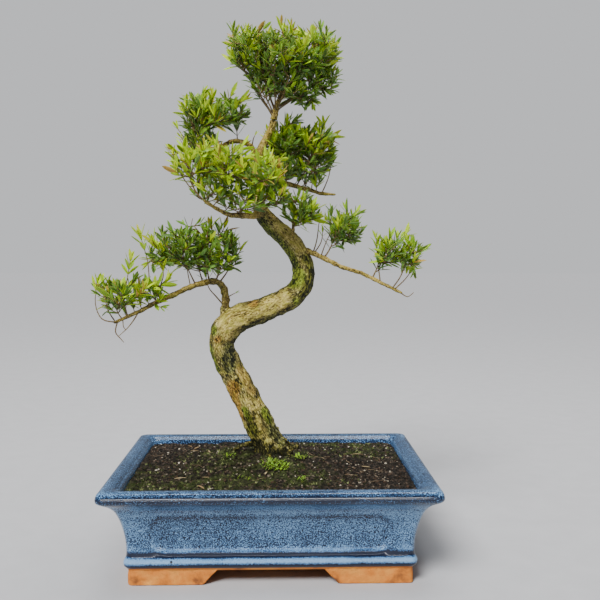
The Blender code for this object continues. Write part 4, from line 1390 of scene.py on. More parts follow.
@dataclass
class Growth:
    """Grows the shoots and leaves of one branch by a seeded rule.

    openings, lengths, spaces and fades go by pair of leaves, from a shoot's tip down: how far in
    degrees they stand off, how long they are, how far it is to the next, and how their tone shifts.
    """

    plan: BranchPlan
    twigs: list[list[tuple[Vector, float, float]]] = field(default_factory=list)
    leaves: list[Leaf] = field(default_factory=list)
    taken: dict[tuple[int, ...], list[Vector]] = field(default_factory=dict)
    leaf_gap: float = 0.0016
    shortest: float = 0.009
    steps: int = 7
    size_spread: float = 1.07
    plenty: float = 1.90
    fresh_share: float = 0.72
    stray_share: float = 0.28
    stray: float = 0.0062
    thickest: float = 0.0013
    tip_radius: float = 0.00036
    box_margin: float = 0.0006
    tip_gap: float = 0.0010
    openings: tuple[int, ...] = (14, 25, 35, 43, 50, 55, 58, 60)
    lengths: tuple[float, ...] = (0.0108, 0.0150, 0.0174, 0.0182, 0.0180, 0.0174, 0.0166, 0.0160)
    spaces: tuple[float, ...] = (0.0030, 0.0042, 0.0050, 0.0055, 0.0058, 0.0060, 0.0060, 0.0060)
    fades: tuple[float, ...] = (0.16, 0.08, 0.0, -0.05, -0.08, -0.10, -0.12, -0.14)

    def __post_init__(self) -> None:
        """Seeds the branch's random numbers and finds where twigs may start."""
        self.rng = random.Random(self.plan.seed)
        low, high = frame_box
        margin = Vector((self.box_margin,) * 3)
        self.low, self.high = low - pot_middle() + margin, high - pot_middle() - margin
        stem = smooth_path(self.plan.path, 3)
        bare = self.plan.collar / 1000 + 0.004
        self.forks = [point.xyz for point, span in zip(stem, lengths_along(stem)) if span > bare]

    def grow(self) -> None:
        """Sets the lone shoots, then fills every pad."""
        for leader in self.plan.leaders:
            self.lead(leader)
        for pad in self.plan.pads:
            for target in self.targets(pad):
                self.shoot(target, pad)

    def lead(self, leader: Leader) -> None:
        """One lone shoot along its own points."""
        line = [p.xyz for p in smooth_path(tuple((*p, 0.0) for p in leader.points), 4)]
        self.add_twig(line, leader.radius / 1000)
        if leader.pairs:
            self.dress(line, leader.pairs, leader.tone, leader.leaf / 1000 / self.lengths[2], 0.0)
        else:
            self.forks += line[len(line) // 2 :]

    def targets(self, pad: Pad) -> list[Vector]:
        """Points spread through a pad, most of them near its outside, nearest first."""
        made = []
        centre, half = Vector(metres(pad.centre)), metres(pad.reach)
        turn = math.pi * (3 - math.sqrt(5))
        first = self.rng.uniform(0, math.tau)
        count = round(pad.shoots * self.plenty * (self.fresh_share if pad.tone is PadTone.FRESH else 1.0))
        for i in range(count):
            height = 1 - (1 - pad.low) * (i + 0.5) / count
            way = on_circle(first + i * turn, math.sqrt(max(0.0, 1 - height * height)), height)
            reach = self.rng.uniform(0.30, 1.0) ** 0.6
            target = centre + Vector([a * b for a, b in zip(way, half)]) * reach
            if height > 0.1 and self.rng.random() < self.stray_share:
                target += way * self.stray + WORLD_UP * self.stray * self.rng.uniform(0.2, 1.0)
            made.append(target)
        return sorted(made, key=lambda point: (point - centre).length)

    def fork_for(self, target: Vector) -> Vector:
        """The point of the wood grown so far from which a twig reaches the target best."""

        def cost(point: Vector) -> float:
            """Length, with a penalty for growing down or for a stump."""
            reach = (target - point).length
            down = max(0.0, point.z - target.z + 0.004)
            return reach + 1.3 * down + (1.0 if reach < self.shortest else 0.0)

        return min(self.forks, key=cost)

    def shoot(self, target: Vector, pad: Pad) -> None:
        """One twig that bends up to its target, with its leaves."""
        start = self.fork_for(target)
        span = target - start
        sway = Vector((self.rng.uniform(-1, 1), self.rng.uniform(-1, 1), 0)) * span.length * 0.10
        middle = start + Vector((span.x * 0.70, span.y * 0.70, span.z * 0.30)) + sway
        line = []
        for i in range(self.steps):
            t = i / (self.steps - 1)
            line.append(start * (1 - t) ** 2 + middle * 2 * t * (1 - t) + target * t * t)
        self.add_twig(line, min(self.thickest, 0.00055 + 0.018 * span.length))
        self.forks += line[2:-2]
        # Painted shade: leaves low in a pad are darker; young shoots are likelier high in a pad.
        from_middle = target - Vector(metres(pad.centre))
        out = clamp(from_middle.z / metres(pad.reach)[2], -1.0)
        young = self.rng.random() < pad.tone.value * (1.0 + 0.45 * out)
        youth = self.rng.uniform(0.66, 0.96) if young else self.rng.uniform(0.08, 0.40) + 0.10 * out
        self.dress(line, len(self.openings), youth, 0.86 + 0.32 * youth, 1 - pad.leafy)

    def add_twig(self, line: Sequence[Vector], thick: float) -> None:
        """Keeps a line as a twig that thins towards its tip."""
        last = len(line) - 1
        thins = self.tip_radius - thick
        self.twigs.append([(p, thick + thins * i / last, i / last) for i, p in enumerate(line)])

    def dress(self, line: Sequence[Vector], pairs: int, youth: float, size: float, bare: float) -> None:
        """Sets opposite pairs of leaves along the outer part of a shoot.

        Args:
            line: the shoot's points.
            pairs: how many pairs it bears at most.
            youth: the tone of its leaves.
            size: how large its leaves are, where 1 is usual.
            bare: the share of its length that stays bare.
        """
        spans = lengths_along(line)
        at = spans[-1] - self.tip_gap
        turn = self.rng.uniform(0, math.tau)
        for pair in range(pairs):
            if at < max(0.003, spans[-1] * bare):
                break
            point, axis = self.point_at(line, spans, at)
            side = axis.cross(Vector((0.31, 0.87, 0.38))).normalized()
            out = Matrix.Rotation(turn, 3, axis) @ side
            for way_out in (out, -out):
                self.leaf(point, axis, way_out, pair, youth, size)
            turn += math.pi / 2 + self.rng.uniform(-0.35, 0.35)
            at -= self.spaces[pair] * self.rng.uniform(0.85, 1.15)

    @staticmethod
    def point_at(line: Sequence[Vector], spans: Sequence[float], at: float) -> tuple[Vector, Vector]:
        """The place and the heading at a length along a line."""
        last = len(line) - 2
        i = next((k for k in range(last) if spans[k + 1] >= at), last)
        step = line[i + 1] - line[i]
        share = (at - spans[i]) / max(1e-9, spans[i + 1] - spans[i])
        return line[i] + step * share, step.normalized()

    def leaf(self, point: Vector, axis: Vector, out: Vector, pair: int, youth: float, size: float) -> None:
        """Adds one leaf if it has room inside the frame's box."""
        opened = math.radians(self.openings[pair] * self.rng.uniform(0.80, 1.20))
        way = (axis * math.cos(opened) + out * math.sin(opened)).normalized()
        length = size * self.lengths[pair] * self.rng.uniform(0.86, 1.16)
        inward = axis - way * axis.dot(way)
        skyward = WORLD_UP - way * way.z
        upper = (inward.normalized() + skyward * 0.8).normalized()
        upper = Matrix.Rotation(self.rng.uniform(-0.55, 0.55), 3, way) @ upper
        tone = clamp(youth + self.fades[pair] + self.rng.uniform(-0.08, 0.08))
        made = Leaf(point, way, upper, length, self.rng.randrange(len(BladeKind)), tone, self.rng.random())
        if self.has_room(made):
            self.leaves.append(made)

    def has_room(self, leaf: Leaf) -> bool:
        """True if the leaf stays in the box and its middle is clear of the others'."""
        tip = leaf.root + (leaf.tip() - leaf.root) * self.size_spread
        if any(not a < x < b for a, x, b in zip(self.low, tip, self.high)):
            return False
        middle = (leaf.root + tip) / 2
        cell = tuple(math.floor(x / self.leaf_gap) for x in middle)
        for step in itertools.product((-1, 0, 1), repeat=3):
            near = self.taken.get(tuple(a + b for a, b in zip(cell, step)), ())
            if any((middle - other).length < self.leaf_gap for other in near):
                return False
        self.taken.setdefault(cell, []).append(middle)
        return True

    def twig_lines(self) -> Object:
        """The twigs as lines that carry their radius and youth."""
        points, edges = [], []
        for twig in self.twigs:
            first = len(points)
            points += twig
            edges += [(k, k + 1) for k in range(first, first + len(twig) - 1)]
        mesh = mesh_of("twig_lines", [p for p, _, _ in points], edges=edges)
        carry(mesh, "radius", [r for _, r, _ in points])
        carry(mesh, "young", [y for _, _, y in points])
        return bpy.data.objects.new("twig_lines", mesh)


@dataclass
class Branch:
    """One branch with its bark, twigs and leaves."""

    plan: BranchPlan
    sides: int = 14
    knots: float = 0.0007
    fineness: float = 1.6

    def wood(self) -> Mesh:
        """The main stem with its knots, growing out of its collar."""
        whole = smooth_path(self.plan.path, 8)
        start = max(0.0, self.plan.collar / 1000 - COLLAR_OVERLAP)
        path = [point for point, span in zip(whole, lengths_along(whole)) if span >= start]
        if self.plan.collar:
            for point, span in zip(path, lengths_along(path)):
                point.w *= 0.80 + 0.20 * ease(span / COLLAR_OVERLAP)
        points, own, faces = Limb(path, self.sides).rings()
        moved = []
        for i, point in enumerate(points):
            ring = i // self.sides
            centre = path[ring]
            share = min(1.0, centre.w / 0.0035)
            lump = (rough(point, 150.0) * 1.7 + rough(point, 430.0, 2) * 0.6) * self.knots * share
            end = 0.35 if ring in (0, len(path) - 1) else 1.0
            moved.append(centre.xyz + (point - centre.xyz) * (1 + lump / centre.w) * end)
        mesh = mesh_of("wood", moved, faces)
        dress_bark(mesh, [place * self.fineness for place in own])
        mesh.shade_smooth()
        return mesh

    def build(self, kit: "Kit") -> None:
        """Makes the branch's three pieces from what all branches share."""
        growth = Growth(self.plan)
        growth.grow()
        name = self.plan.name
        stand(f"{name}_wood", self.wood(), "bark", name, material=kit.bark)
        stand(f"{name}_twigs", kit.lines(growth.twig_lines(), kit.twig_bark), "bark", name)
        leaves = kit.foliage(growth.leaves, kit.leaf, 0.06, self.plan.seed)
        stand(f"{name}_leaves", leaves, "foliage", name)
        LOG.info("%s: %d twigs, %d leaves", name, len(growth.twigs), len(growth.leaves))


@dataclass
class Trunk:
    """The trunk with its roots and collars, remeshed as one skin and given its bark."""

    voxel: float = 0.0010
    lump: float = 0.0016
    flake: float = 0.0009
    knob: float = 0.0040
    usual_radius: float = 0.0150
    sides: int = 40
    collar_end: float = 0.003

    def limbs(self) -> list[Limb]:
        """The trunk, its roots and the collars of the branches."""
        made = [Limb(smooth_path(TRUNK_PATH, 6), self.sides)]
        made += [Limb(smooth_path(root, 5), 16) for root in SURFACE_ROOTS]
        made += [self.collar(plan) for plan in BRANCHES if plan.collar]
        return made

    def collar(self, plan: BranchPlan) -> Limb:
        """The collar round the start of a branch, wide at first and narrow at its end."""
        length = plan.collar / 1000
        path = smooth_path(plan.path, 8)
        made = []
        for point, span in zip(path, lengths_along(path)):
            if span <= length + self.collar_end:
                past = ease((span - length + COLLAR_OVERLAP) / (COLLAR_OVERLAP + self.collar_end))
                made.append(Vector((*point.xyz, point.w * (1.08 - 0.34 * past) + 0.0003)))
        return Limb(made, 20)

    def skin(self) -> Mesh:
        """All the limbs merged into one even mesh."""
        points, faces = [], []
        for limb in self.limbs():
            more, _, rings = limb.rings()
            faces += [tuple(len(points) + i for i in face) for face in rings]
            points += more
        remesh = {"mode": "VOXEL", "voxel_size": self.voxel, "use_smooth_shade": True}
        stack = (("REMESH", remesh), ("SMOOTH", {"factor": 0.5, "iterations": 4}))
        return with_modifiers(mesh_of("trunk", points, faces), stack)

    def mesh(self) -> Mesh:
        """The skin with lumps, flakes and what the bark's finish reads."""
        mesh = self.skin()
        path = smooth_path(TRUNK_PATH, 8)
        spans, frames = lengths_along(path), frames_along(path)
        tree = kdtree.KDTree(len(path))
        for i, point in enumerate(path):
            tree.insert(point.xyz, i)
        tree.balance()
        own, moved = [], []
        for vert in mesh.vertices:
            place, normal = vert.co.copy(), vert.normal.copy()
            _, i, _ = tree.find(place)
            from_axis = place - path[i].xyz
            side, over = frames[i]
            at = Vector((from_axis.dot(side), from_axis.dot(over), spans[i]))
            own.append(at)
            size = min(1.0, path[i].w / self.usual_radius)
            lump = rough(place, 55.0, 2) * self.lump
            flake = rough(Vector((at.x, at.y, at.z * 0.6)), 230.0, 3) * self.flake
            knobs = max(0.0, rough(place, 150.0, 2)) * self.knob * bump(spans[i], 0.030, 0.030)
            knobs *= max(0.0, 0.3 + from_axis.x / 0.02)
            moved.append(place + normal * ((lump + flake) * size + knobs - 0.0001))
        mesh.vertices.foreach_set("co", np.array([tuple(p) for p in moved], np.float32).ravel())
        mesh.update()
        dress_bark(mesh, own, BARK_STREAKS)
        return mesh

    def build(self, kit: "Kit") -> None:
        """Makes the trunk's piece."""
        stand("trunk_bark", self.mesh(), "bark", "trunk", material=kit.bark)


@dataclass
class Pot:
    """The glazed pot: flared walls with sunk panels, rolled rim, corner feet and drain holes.

    The rows of outer and inner give the wall's inset and height, in millimetres. The rows of the
    band tables give a height, its reach and how much paler or darker the glaze is painted there.
    """

    length: float = 0.360
    depth: float = 0.270
    corner: float = 0.007
    inner_corner: float = 0.011
    panel_z: float = 0.0561
    panel_half_height: float = 0.0194
    panel_half_lengths: tuple[float, float] = (0.128, 0.078)
    panel_depth: float = 0.0024
    bead_height: float = 0.0009
    foot_inset: float = 0.028
    foot_width: float = 0.018
    foot_height: float = 0.018
    foot_corner: float = 0.005
    foot_ends: Rows = ((0.072, 0.048), (0.053, 0.032))
    floor_top: float = 0.027
    glaze_end: float = 0.0190
    drain_x: float = 0.075
    drain_radius: float = 0.009
    outer: Rows = (
        (28.6, 16.2), (26.2, 19.2), (24.3, 22.2), (24.0, 26.5), (26.2, 31.2), (26.7, 38.0),
        (26.0, 48.0), (24.0, 60.0), (20.8, 72.0), (16.0, 83.0), (10.0, 89.5), (4.0, 93.5),
        (0.9, 96.2), (0.1, 99.0), (0.4, 101.0), (1.0, 103.3), (2.8, 105.8), (6.0, 107.0),
    )
    inner: Rows = (
        (12.5, 106.8), (15.5, 106.0), (17.8, 104.0), (20.8, 101.5), (27.5, 87.0), (31.5, 74.0),
        (33.8, 56.0), (34.8, 36.0), (39.0, 27.0),
    )
    # Painted light on the top of the base moulding and on the top of the panels' upper border.
    lit_bands: Rows = ((0.0272, 0.0023, 0.70), (0.0795, 0.0022, 0.40))
    # Darker bands on the lip's front, and painted shade under the base moulding, on the panels' lower
    # border where it faces down, and under the lip.
    shaded_bands: Rows = (
        (0.1005, 0.0036, 1.10), (0.0208, 0.0031, 1.00), (0.0334, 0.0028, 1.15), (0.0945, 0.0030, 0.50),
    )

    def ring(self, inset: float, z: float, radius: float) -> list[Vector]:
        """Points round the pot at one height, close enough together for the panels' edges."""
        reach_x, reach_y = self.length / 2 - inset - radius, self.depth / 2 - inset - radius
        points = []
        for quarter, (sign_x, sign_y) in enumerate(CORNERS):
            centre = Vector((sign_x * reach_x, sign_y * reach_y, z))
            turns = [math.radians(90 * quarter + 15 * step) for step in range(7)]
            points += [centre + radius * on_circle(turn) for turn in turns]
            count, reach = (90, reach_y) if quarter % 2 else (120, reach_x)
            heading = on_circle(math.radians(90 * quarter + 180))
            start = points[-1]
            points += [start + heading * 2 * reach * step / count for step in range(1, count)]
        return points

    def on_front(self, point: Vector) -> bool:
        """True for a point of the front or the back, and False for one of the ends."""
        return abs(point.y) / self.depth > abs(point.x) / self.length

    def panel(self, point: Vector) -> float:
        """How deep a point of the wall lies in a panel, or how far it stands out on its border."""
        front, end = self.panel_half_lengths
        across, half = (point.x, front) if self.on_front(point) else (point.y, end)
        along = max(0.0, abs(across) - (half - self.panel_half_height))
        away = math.hypot(along, point.z - self.panel_z) - self.panel_half_height
        inside = 1 / (1 + math.exp(away / 0.0010))
        return self.panel_depth * inside - self.bead_height * bump(away, 0.0038, 0.0024)

    def outer_glaze(self, place: Vector, inset: float) -> tuple[float, float, float]:
        """How pale, how dark and how calm the glaze is at a point of the plain outer wall, painted light
        and shade included.
        """
        z = place.z
        depth = self.panel(place)
        below = Vector((0.0, 0.0, 0.0005))
        leaning = (self.panel(place - below) - depth) / below.z
        to_corner = (self.length + self.depth) / 2 - 2 * inset - abs(place.x) - abs(place.y)
        # Painted light: faces that lean up are paler; the glaze also varies at random and is paler near the
        # corners.
        thin = 0.25 + 0.4 * rough(place, 22.0, 2) + 0.6 * max(0.0, -leaning)
        thin += 0.35 * ease(1 - to_corner / 0.030)
        # Painted shade: darker in the lower part of the panels' height.
        thin -= 0.24 * ease((0.064 - z) / 0.018) * ease((z - 0.038) / 0.004)
        # Painted shade: thick holds faces that lean down and the sunk panel, which are darker.
        thick = 0.7 * max(0.0, leaning) + 0.08 * ease(depth / self.panel_depth)
        thick += 0.20 * ease((z - 0.1035) / 0.002)
        # Painted light and painted shade in bands, from the pot's tables.
        thin += sum(strength * bump(z, height, reach) for height, reach, strength in self.lit_bands)
        thick += sum(strength * bump(z, height, reach) for height, reach, strength in self.shaded_bands)
        return clamp(thin), clamp(thick), ease((0.043 - z) / 0.006)

    @staticmethod
    def inner_glaze(place: Vector) -> tuple[float, float, float]:
        """How pale, how dark and how calm the glaze is at a point of the inside: darker below the rim than
        on it.
        """
        on_rim = ease((place.z - 0.099) / 0.005)
        return 0.10, (0.35 + 0.3 * rough(place, 22.0, 2)) * (1 - on_rim) + 0.24 * on_rim, 0.0

    def wall(self) -> Mesh:
        """The body with its hollow and its panels, and how its glaze lies, with painted light and shade."""
        outer = smooth_path(tuple((*row, 0, 0) for row in self.outer), 4)
        inner = smooth_path(tuple((*row, 0, 0) for row in self.inner), 3)
        points, glaze = [], []
        for inset, z, _, _ in outer:
            for place in self.ring(inset, z, self.corner):
                glaze.append(self.outer_glaze(place, inset))
                axis = int(self.on_front(place))
                place[axis] -= math.copysign(self.panel(place), place[axis])
                points.append(place)
        for inset, z, _, _ in inner:
            ring = self.ring(inset, z, self.inner_corner)
            glaze += [self.inner_glaze(place) for place in ring]
            points += ring
        rings = len(outer) + len(inner)
        mesh = mesh_of("pot_wall", points, closed_bands(rings, len(points) // rings))
        for name, values in zip(("glaze_thin", "glaze_thick", "glaze_calm"), zip(*glaze)):
            carry(mesh, name, values)
        return mesh

    @staticmethod
    def prism(points: Sequence[Sequence[float]]) -> Mesh:
        """A solid between two outlines of equal point counts, given one after the other."""
        bm = bmesh.new()
        bm.from_mesh(mesh_of("prism", points, closed_bands(2, len(points) // 2)))
        bmesh.ops.recalc_face_normals(bm, faces=bm.faces)
        return mesh_from("prism", bm)

    def foot_outline(self, signs: tuple[int, int], ends: tuple[float, float], z: float) -> list[Place]:
        """The outline of one corner foot at one height.

        Args:
            signs: which corner it stands at.
            ends: where its two arms end, along the length and along the depth.
            z: the height.

        Returns:
            Its points, the same number at any height.
        """
        far_x, far_y = self.length / 2 - self.foot_inset, self.depth / 2 - self.foot_inset
        near_x, near_y = far_x - self.foot_width, far_y - self.foot_width
        radius = self.foot_corner
        mid_x, mid_y = far_x - radius, far_y - radius
        turns = [math.radians(90 * step / 4) for step in range(5)]
        arc = [(mid_x + radius * math.cos(t), mid_y + radius * math.sin(t)) for t in turns]
        end_x, end_y = ends
        points = [(far_x, end_y), *arc, (end_x, far_y), (end_x, near_y), (near_x, near_y), (near_x, end_y)]
        return [(signs[0] * x, signs[1] * y, z) for x, y in points]

    def feet(self) -> Mesh:
        """Four corner feet with sloped ends and worn, chipped edges."""
        bm = bmesh.new()
        low, high = self.foot_ends
        for signs in CORNERS:
            top = self.foot_outline(signs, high, self.foot_height + 0.002)
            bm.from_mesh(self.prism(self.foot_outline(signs, low, 0.0) + top))
        sharp = [edge for edge in bm.edges if edge.calc_face_angle() > 0.5]
        bmesh.ops.bevel(bm, geom=sharp, offset=0.0010, segments=2, affect="EDGES")
        bmesh.ops.triangulate(bm, faces=bm.faces)
        for _ in range(4):
            long_edges = [edge for edge in bm.edges if edge.calc_length() > 0.004]
            bmesh.ops.subdivide_edges(bm, edges=long_edges, cuts=1)
            bmesh.ops.triangulate(bm, faces=bm.faces)
        bm.normal_update()
        for vert in bm.verts:
            if 0.0004 < vert.co.z < self.foot_height - 0.001:
                dent = rough(vert.co, 70.0, 2) * 0.0010
                chip = 0.0016 * max(0.0, rough(vert.co, 130.0, 2) - 0.25)
                vert.co += Vector((vert.normal.x, vert.normal.y, 0)) * (dent - chip)
        return mesh_from("feet", bm)

    def drain(self, x: float) -> Mesh:
        """The round bar that cuts one drain hole."""
        radius = self.drain_radius
        turns = [math.tau * k / 32 for k in range(32)]
        circle = [(x + radius * math.cos(t), radius * math.sin(t)) for t in turns]
        return self.prism([(*place, z) for z in (0.0, 0.05) for place in circle])

    def build(self, kit: "Kit") -> None:
        """Makes the pot's piece, with clay showing under the glaze."""
        holes = [("DIFFERENCE", self.drain(x)) for x in (-self.drain_x, self.drain_x)]
        mesh = with_booleans(self.wall(), [("UNION", self.feet()), *holes])
        mesh.materials.clear()
        for material in (kit.glaze, kit.clay):
            mesh.materials.append(material)
        for face in mesh.polygons:
            centre = face.center
            from_drain = math.hypot(abs(centre.x) - self.drain_x, centre.y)
            in_drain = centre.z < self.floor_top + 0.001 and from_drain < self.drain_radius + 0.0005
            face.material_index = 1 if centre.z < self.glaze_end or in_drain else 0
        mesh.shade_smooth()
        mesh.set_sharp_from_angle(angle=math.radians(38))
        stand("glazed_pot", mesh, "blue_glaze", "pot")


@dataclass
class Soil:
    """Soil mounded round the trunk, with moss, crumbs, fibres and fallen leaves.

    The rows of sides give its inset from the pot's outline and the height. The rows of
    moss_patches give a middle and the reach along X and Y. The rows of seedlings and fallen give
    a middle, a reach, how many leaves there are and their length.
    """

    edge_z: float = 0.0975
    mound: float = 0.0125
    mound_centre: tuple[float, float] = (-0.004, 0.020)
    mound_spread: tuple[float, float] = (0.105, 0.070)
    half_x: float = 0.1570
    half_y: float = 0.1120
    corner: float = 0.0105
    columns: int = 170
    rows: int = 124
    cell: float = 0.004
    edge: float = 0.003
    sides: Rows = (
        (0.0276, 0.0870), (0.0318, 0.0740), (0.0341, 0.0560), (0.0351, 0.0360), (0.0386, 0.0300),
    )
    moss_patches: Rows = (
        (-0.100, -0.085, 0.060, 0.026), (-0.055, 0.020, 0.045, 0.045), (-0.020, -0.055, 0.070, 0.030),
        (0.010, -0.020, 0.035, 0.025), (-0.145, -0.060, 0.014, 0.050), (0.035, -0.065, 0.025, 0.018),
        (0.030, 0.015, 0.020, 0.018), (0.110, 0.060, 0.040, 0.035), (0.060, 0.095, 0.090, 0.012),
    )
    seedlings: Rows = (
        (0.003, -0.030, 0.015, 150, 0.0062), (0.033, -0.004, 0.007, 26, 0.0055),
        (0.034, -0.070, 0.006, 20, 0.0050), (-0.048, 0.004, 0.010, 26, 0.0048),
        (-0.030, -0.060, 0.008, 14, 0.0045),
    )
    fallen: Rows = (
        (-0.110, -0.050, 0.02, 2, 0.010), (-0.088, -0.078, 0.01, 1, 0.012),
        (0.020, -0.030, 0.14, 9, 0.012), (-0.020, 0.070, 0.10, 6, 0.012),
    )

    def ground(self, x: float, y: float) -> float:
        """Height of the surface, without its finest lumps."""
        swell = self.mound * hill(x, y, self.mound_centre, self.mound_spread)
        return self.edge_z + swell + rough(Vector((x, y, 0.0)), 60.0, 2) * 0.0016

    def mossiness(self, x: float, y: float) -> float:
        """How much moss grows at a place, from 0 to 1."""
        total = sum(hill(x, y, patch[:2], patch[2:]) for patch in self.moss_patches)
        return clamp(total * (0.55 + 1.1 * rough(Vector((x, y, 0.3)), 60.0, 3)))

    def within(self, x: float, y: float, margin: float) -> tuple[float, float]:
        """A place moved to where it is at least a margin inside the soil's edge."""
        far_x, far_y = self.half_x - margin, self.half_y - margin
        return clamp(x, -far_x, far_x), clamp(y, -far_y, far_y)

    def rounded(self, x: float, y: float) -> tuple[float, float]:
        """A point moved into the hollow's rounded corner."""
        from_x, from_y = self.half_x - self.corner, self.half_y - self.corner
        over_x, over_y = abs(x) - from_x, abs(y) - from_y
        away = math.hypot(over_x, over_y)
        if over_x <= 0 or over_y <= 0 or away <= self.corner:
            return x, y
        scale = self.corner / away
        return math.copysign(from_x + over_x * scale, x), math.copysign(from_y + over_y * scale, y)

    def mesh(self) -> Mesh:
        """The soil as one closed solid with a rough surface."""
        points, moss = [], []
        for row in range(self.rows + 1):
            for column in range(self.columns + 1):
                x = self.half_x * (2 * column / self.columns - 1)
                y = self.half_y * (2 * row / self.rows - 1)
                x, y = self.rounded(x, y)
                place = Vector((x, y, 0.0))
                green = self.mossiness(x, y)
                clod = rough(place, 230.0, 3) * 0.0013
                cushion = green * max(0.0, rough(place + WORLD_UP, 120.0, 2)) * 0.0022
                points.append(Vector((x, y, self.ground(x, y) + clod + cushion)))
                moss.append(green)
        across = self.columns + 1
        faces = grid_faces(self.columns, self.rows)
        loop = list(range(across))
        loop += [row * across + self.columns for row in range(1, self.rows + 1)]
        loop += [self.rows * across + column for column in range(self.columns - 1, -1, -1)]
        loop += [row * across for row in range(self.rows - 1, 0, -1)]
        upper = loop
        for inset, z in self.sides:
            scale_x, scale_y = (0.180 - inset) / self.half_x, (0.135 - inset) / self.half_y
            lower = list(range(len(points), len(points) + len(loop)))
            points += [Vector((points[i].x * scale_x, points[i].y * scale_y, z)) for i in loop]
            for k in range(len(loop)):
                j = (k + 1) % len(loop)
                faces.append((upper[j], upper[k], lower[k], lower[j]))
            upper = lower
        faces.append(tuple(reversed(upper)))
        mesh = mesh_of("soil", points, faces)
        carry(mesh, "moss", moss + [0.0] * (len(points) - len(moss)))
        mesh.shade_smooth()
        return mesh

    def hollow_for_trunk(self) -> Mesh:
        """The soil with room for the trunk's foot."""
        slack = Vector((0, 0, 0, 0.0006))
        foot = Limb([p - slack for p in smooth_path(TRUNK_PATH, 4)[:13]], 28)
        points, _, faces = foot.rings()
        return with_booleans(self.mesh(), [("DIFFERENCE", mesh_of("foot", points, faces))], "EXACT")

    def surface(self, mossy: bool) -> Object:
        """The top surface alone, clear of the trunk, masked by the moss or whole."""
        points, values = [], []
        columns, rows = int(2 * self.half_x / self.cell), int(2 * self.half_y / self.cell)
        far_x, far_y = self.half_x - self.edge, self.half_y - self.edge
        for row in range(rows + 1):
            for column in range(columns + 1):
                x, y = far_x * (2 * column / columns - 1), far_y * (2 * row / rows - 1)
                points.append(Vector((x, y, self.ground(x, y))))
                near_trunk = math.hypot(x + 0.003, y - 0.030) < 0.026
                share = self.mossiness(x, y) if mossy else 1.0
                values.append(0.0 if near_trunk else share)
        mesh = mesh_of("soil_surface", points, grid_faces(columns, rows))
        carry(mesh, "mask", values)
        return bpy.data.objects.new("soil_surface", mesh)

    @staticmethod
    def crumb(number: int) -> Mesh:
        """One of several irregular crumbs, one unit across."""
        bm = bmesh.new()
        bmesh.ops.create_icosphere(bm, subdivisions=1, radius=0.5)
        for vert in bm.verts:
            vert.co *= 1 + 0.5 * noise.noise(vert.co * 2.3 + Vector((number * 7.1, 0, 0)))
            vert.co.z *= 0.7
        return mesh_from("crumb", bm)

    @staticmethod
    def tuft(number: int) -> Mesh:
        """One of several tufts of tiny spikes, one unit high."""
        rng = random.Random(500 + number)
        points, faces = [], []
        for _ in range(8):
            angle = rng.uniform(0, math.tau)
            lean = rng.uniform(0.1, 0.75)
            foot = Vector((rng.uniform(-0.35, 0.35), rng.uniform(-0.35, 0.35), -0.2))
            first = len(points)
            points += [foot + on_circle(angle + math.tau * k / 3) * 0.13 for k in range(3)]
            points.append(foot + on_circle(angle, lean, rng.uniform(0.7, 1.2)))
            faces += [(first + k, first + (k + 1) % 3, first + 3) for k in range(3)]
            faces.append((first + 2, first + 1, first))
        return mesh_of("tuft", points, faces)

    def strew(
        self, kit: "Kit", name: str, shapes: Sequence[Mesh], values: dict, mossy: bool = False
    ) -> None:
        """Strews small things over the soil as one piece.

        Args:
            kit: what all pieces share.
            name: the piece's name.
            shapes: the things' shapes.
            values: what the tree's named inputs are set to.
            mossy: True where they keep to the moss.
        """
        things = shelf(name, shapes)
        mesh = kit.scatter.grow(self.surface(mossy), {"Things": things, **values})
        clear_shelf(things)
        stand(name, mesh, "soil")

    def fibres(self) -> Object:
        """Pale root fibres that lie on the soil."""
        rng = random.Random(77)
        points, edges, radii = [], [], []
        for _ in range(24):
            x, y = rng.uniform(-0.9, 0.9) * self.half_x, rng.uniform(-0.9, 0.9) * self.half_y
            if math.hypot(x, y - 0.03) < 0.028:
                continue
            angle = rng.uniform(0, math.tau)
            first = len(points)
            for k in range(6):
                points.append(Vector((x, y, self.ground(x, y) + 0.0008 + rng.uniform(0.0, 0.0010))))
                radii.append(0.00026 - 0.00003 * k)
                angle += rng.uniform(-0.7, 0.7)
                x, y = self.within(x + 0.0035 * math.cos(angle), y + 0.0035 * math.sin(angle), self.edge)
            edges += [(first + k, first + k + 1) for k in range(5)]
        mesh = mesh_of("fibres", points, edges=edges)
        carry(mesh, "radius", radii)
        carry(mesh, "chance", [rng.random() for _ in points])
        return bpy.data.objects.new("fibres", mesh)

    def leaves_on(self, places: Rows, seed: int, low: bool) -> list[Leaf]:
        """Leaves on the soil: fallen ones lie flat, and a seedling's stand up.

        Args:
            places: rows such as those of seedlings.
            seed: for the random numbers.
            low: True where the leaves lie flat.

        Returns:
            The leaves.
        """
        rng = random.Random(seed)
        leaves = []
        for x, y, reach, count, length in places:
            for _ in range(count):
                angle, away = rng.uniform(0, math.tau), reach * math.sqrt(rng.random())
                lift = rng.uniform(0.02, 0.15) if low else rng.uniform(0.35, 1.2)
                way = on_circle(rng.uniform(0, math.tau), 1.0, lift).normalized()
                rise = 0.0012 if low else rng.uniform(0.0005, 0.006) * (1 - away / reach * 0.7)
                px, py = self.within(x + away * math.cos(angle), y + away * math.sin(angle), 0.012)
                root = Vector((px, py, self.ground(px, py) + rise))
                size, kind = length * rng.uniform(0.7, 1.2), rng.randrange(len(BladeKind))
                tone, chance = rng.uniform(0.38, 0.64), rng.random()
                leaves.append(Leaf(root, way, WORLD_UP - way * way.z, size, kind, tone, chance))
        return leaves

